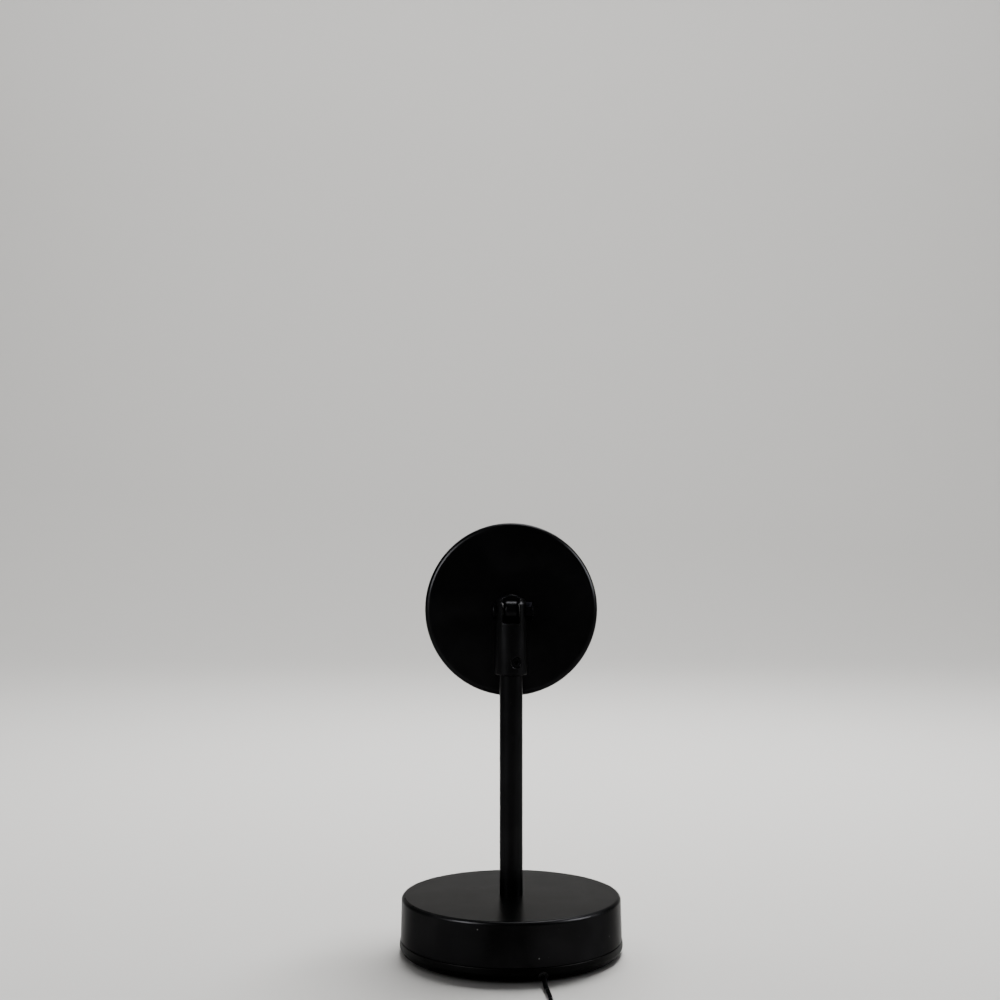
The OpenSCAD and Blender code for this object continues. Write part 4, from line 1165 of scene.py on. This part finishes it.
@dataclass
class SupplyCord:
    """The cord from the base to the coil, the switch and the plug.

    Its diameter is in metres, and all the rest in millimetres and degrees. The
    coil starts at its outside, and each layer climbs to the next over a part of
    a turn. The strap goes through the coil at tie_angle, and the cord is lifted
    off the table there, within tie_reach of the strap.
    """

    diameter: float = 2.0 * MM
    exit_angle: float = 15.4
    rim: float = 48.0
    exit_height: float = 2.4
    exit_run: float = 2.0
    table: float = 1.02
    coil_centre: tuple[float, float] = (-26.0, -120.7)
    coil_from: float = 90
    coil_out: float = 17.3
    pitch: float = 2.45
    turns: float = 17.5
    layers: int = 4
    rings: int = 24
    climb_turns: float = 0.5
    tie_angle: float = 180
    tie_reach: float = 54
    tie_ramp: float = 35
    tie_lift: float = 0.6
    tie_width: float = 4.0
    tie_thickness: float = 0.5
    tie_inside: float = 2.0
    tie_outside: float = 1.2
    tie_air: float = 0.1
    tie_edge: float = 0.12
    tie_segments: int = 5
    lap_short: float = 3.5
    lap_shift: float = 0.25
    knot_steps: int = 3
    bevel_steps: int = 4
    lead: ClassVar[list[Point]] = [
        (0.55, -5.1, 0.68), (0.8, -8, 0.16), (1.2, -11.4, 0), (2.1, -20, 0),
        (2.4, -29, 0), (1.1, -38, 0), (-3.1, -46.6, 0), (-10.4, -52.9, 0),
        (-19.2, -56.3, 0), (-29, -57.12, 0), (-36.75, -57.12, 0),
    ]
    tail: ClassVar[list[Point]] = [
        (-24, -138, 8.37), (-21, -138, 8.31), (-17.5, -138, 7.51),
        (-14.5, -138, 6.3), (-11.5, -138, 5.61), (-9, -138, 5.5),
    ]
    end: ClassVar[list[Point]] = [
        (33, -138, 5.5), (36, -137.8, 5.2), (41, -135.6, 3.02), (44.4, -131.4, 1.32),
        (45, -126.6, 1.02), (43, -121.8, 2.02), (39, -118.8, 3.4), (36, -118, 3.8),
        (33, -118, 3.8),
    ]

    def build(self) -> None:
        """Lays both lengths of cord and ties the coil."""
        self.supply = self._lay(
            "supply_cord",
            self._lead_points() + self._coil_points() + self.tail,
            ("cord_lead", "cord_coil", "cord_tail"),
        )
        self.plug_end = self._lay("plug_cord", self.end, ("cord_end",))
        self.tie = self._tie()

    def _lead_points(self) -> list[Point]:
        """The cord's start, straight out of the base's rim, and its way to the coil."""
        a = math.radians(self.exit_angle)
        start, out = (
            (math.sin(a) * far, -math.cos(a) * far, self.exit_height)
            for far in (self.rim, self.rim + self.exit_run)
        )
        x, y, _ = start
        return [start, out, *((x + dx, y + dy, self.table + dz) for dx, dy, dz in self.lead)]

    def _coil_points(self) -> list[Point]:
        """The coil's line: layers that spiral in and out by turns."""
        last = int(self.turns * self.rings)
        return [self._coil_point(i / self.rings) for i in range(last + 1)]

    def _coil_point(self, turn: float) -> Point:
        """The middle of the coil's cord after some turns."""
        per_layer = self.turns / self.layers
        layer = min(int(turn // per_layer), self.layers - 1)
        along = turn - layer * per_layer
        inner = self.coil_out - per_layer * self.pitch
        radius = inner + self.pitch * along if layer % 2 else self.coil_out - self.pitch * along
        climbed = sum(
            self._eased((turn - k * per_layer) / self.climb_turns + 0.5)
            for k in range(1, self.layers)
        )
        around = self.coil_from + 360 * turn
        a = math.radians(around)
        off = abs((around - self.tie_angle + 180) % 360 - 180)
        lift = self.tie_lift * self._eased((self.tie_reach - off) / self.tie_ramp)
        x, y = self.coil_centre
        return (
            x + radius * math.cos(a),
            y + radius * math.sin(a),
            self.table + self.pitch * climbed + lift,
        )

    @staticmethod
    def _eased(t: float) -> float:
        """A soft step from 0 to 1."""
        t = min(max(t, 0.0), 1.0)
        return t * t * (3 - 2 * t)

    def _tie(self) -> bpy.types.Object:
        """Makes the strap round the coil, with its end lapped on top."""
        thick = self.tie_thickness
        half_cord = self.diameter / 2 / MM
        low = self.coil_out - self.turns / self.layers * self.pitch - self.tie_inside
        high = self.coil_out + self.tie_outside
        top = self.table + (self.layers - 1) * self.pitch + half_cord + self.tie_lift
        top += self.tie_air
        strap = Shape.bar(((high - low + thick) * MM, self.tie_width * MM, top * MM))
        bm = strap.bm
        sides = [f for f in bm.faces if abs(f.normal.y) > 0.9]
        bmesh.ops.delete(bm, geom=sides, context="FACES")
        corners = [e for e in bm.edges if abs(e.verts[0].co.y - e.verts[1].co.y) > 1e-4]
        bmesh.ops.bevel(
            bm, geom=corners, offset=(self.tie_outside + thick / 2) * MM,
            segments=self.tie_segments, profile=0.5, affect="EDGES", material=-1,
        )
        bmesh.ops.recalc_face_normals(bm, faces=bm.faces)
        outwards = [v.co + v.normal * thick * MM / 2 for v in bm.verts]
        for corner, place in zip(bm.verts, outwards):
            corner.co = place
        bmesh.ops.solidify(bm, geom=bm.faces[:], thickness=thick * MM)
        strap.move((0, 0, (top + thick) / 2 * MM))
        lap = Shape.bar(((high - low - self.lap_short) * MM, self.tie_width * MM, thick * MM))
        lap.move((-self.lap_shift * MM, 0, (top + thick * 1.5) * MM))
        strap.add(lap).soften(self.tie_edge * MM)
        x, y = self.coil_centre
        strap.move(((x - (low + high) / 2) * MM, y * MM, 0))
        return swap(strap.piece("coil_tie"), "stand", "cord_tie")

    def _lay(
        self, name: str, points: Sequence[Point], stands_for: Iterable[str]
    ) -> bpy.types.Object:
        """Makes one length of cord on a smooth curve.

        Args:
            name: The piece's name.
            points: The points that it passes, in millimetres.
            stands_for: The nodes that it replaces.

        Returns:
            The piece.
        """
        data = bpy.data.curves.new(name, "CURVE")
        data.dimensions = "3D"
        data.resolution_u = self.knot_steps
        data.bevel_depth = self.diameter / 2
        data.bevel_resolution = self.bevel_steps
        data.use_fill_caps = True
        spline = data.splines.new("BEZIER")
        spline.bezier_points.add(len(points) - 1)
        line = [Vector(p) * MM for p in points]
        last = len(line) - 1
        for i, (place, knot) in enumerate(zip(line, spline.bezier_points)):
            before, after = max(i - 1, 0), min(i + 1, last)
            pull = (line[after] - line[before]) / (3 * (after - before))
            knot.co = place
            knot.handle_left = place - pull
            knot.handle_right = place + pull
        cord = bpy.data.objects.new(name, data)
        bpy.context.scene.collection.objects.link(cord)
        return keep(cord, "stand", "cord_jacket", stands_for)


def dress_the_frame() -> None:
    """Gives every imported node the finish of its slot."""
    for name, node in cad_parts.items():
        paint(node, SLOT_OF_NODE[name])


def main() -> None:
    """Builds the studio, the cord and the lamp."""
    Studio().build()
    cord = SupplyCord()
    cord.build()
    Base().build()
    TiltJoint().build()
    Head().build()
    on_supply = CordSwitch().build()
    on_end = Plug().build()
    dress_the_frame()


if __name__ == "__main__":
    main()
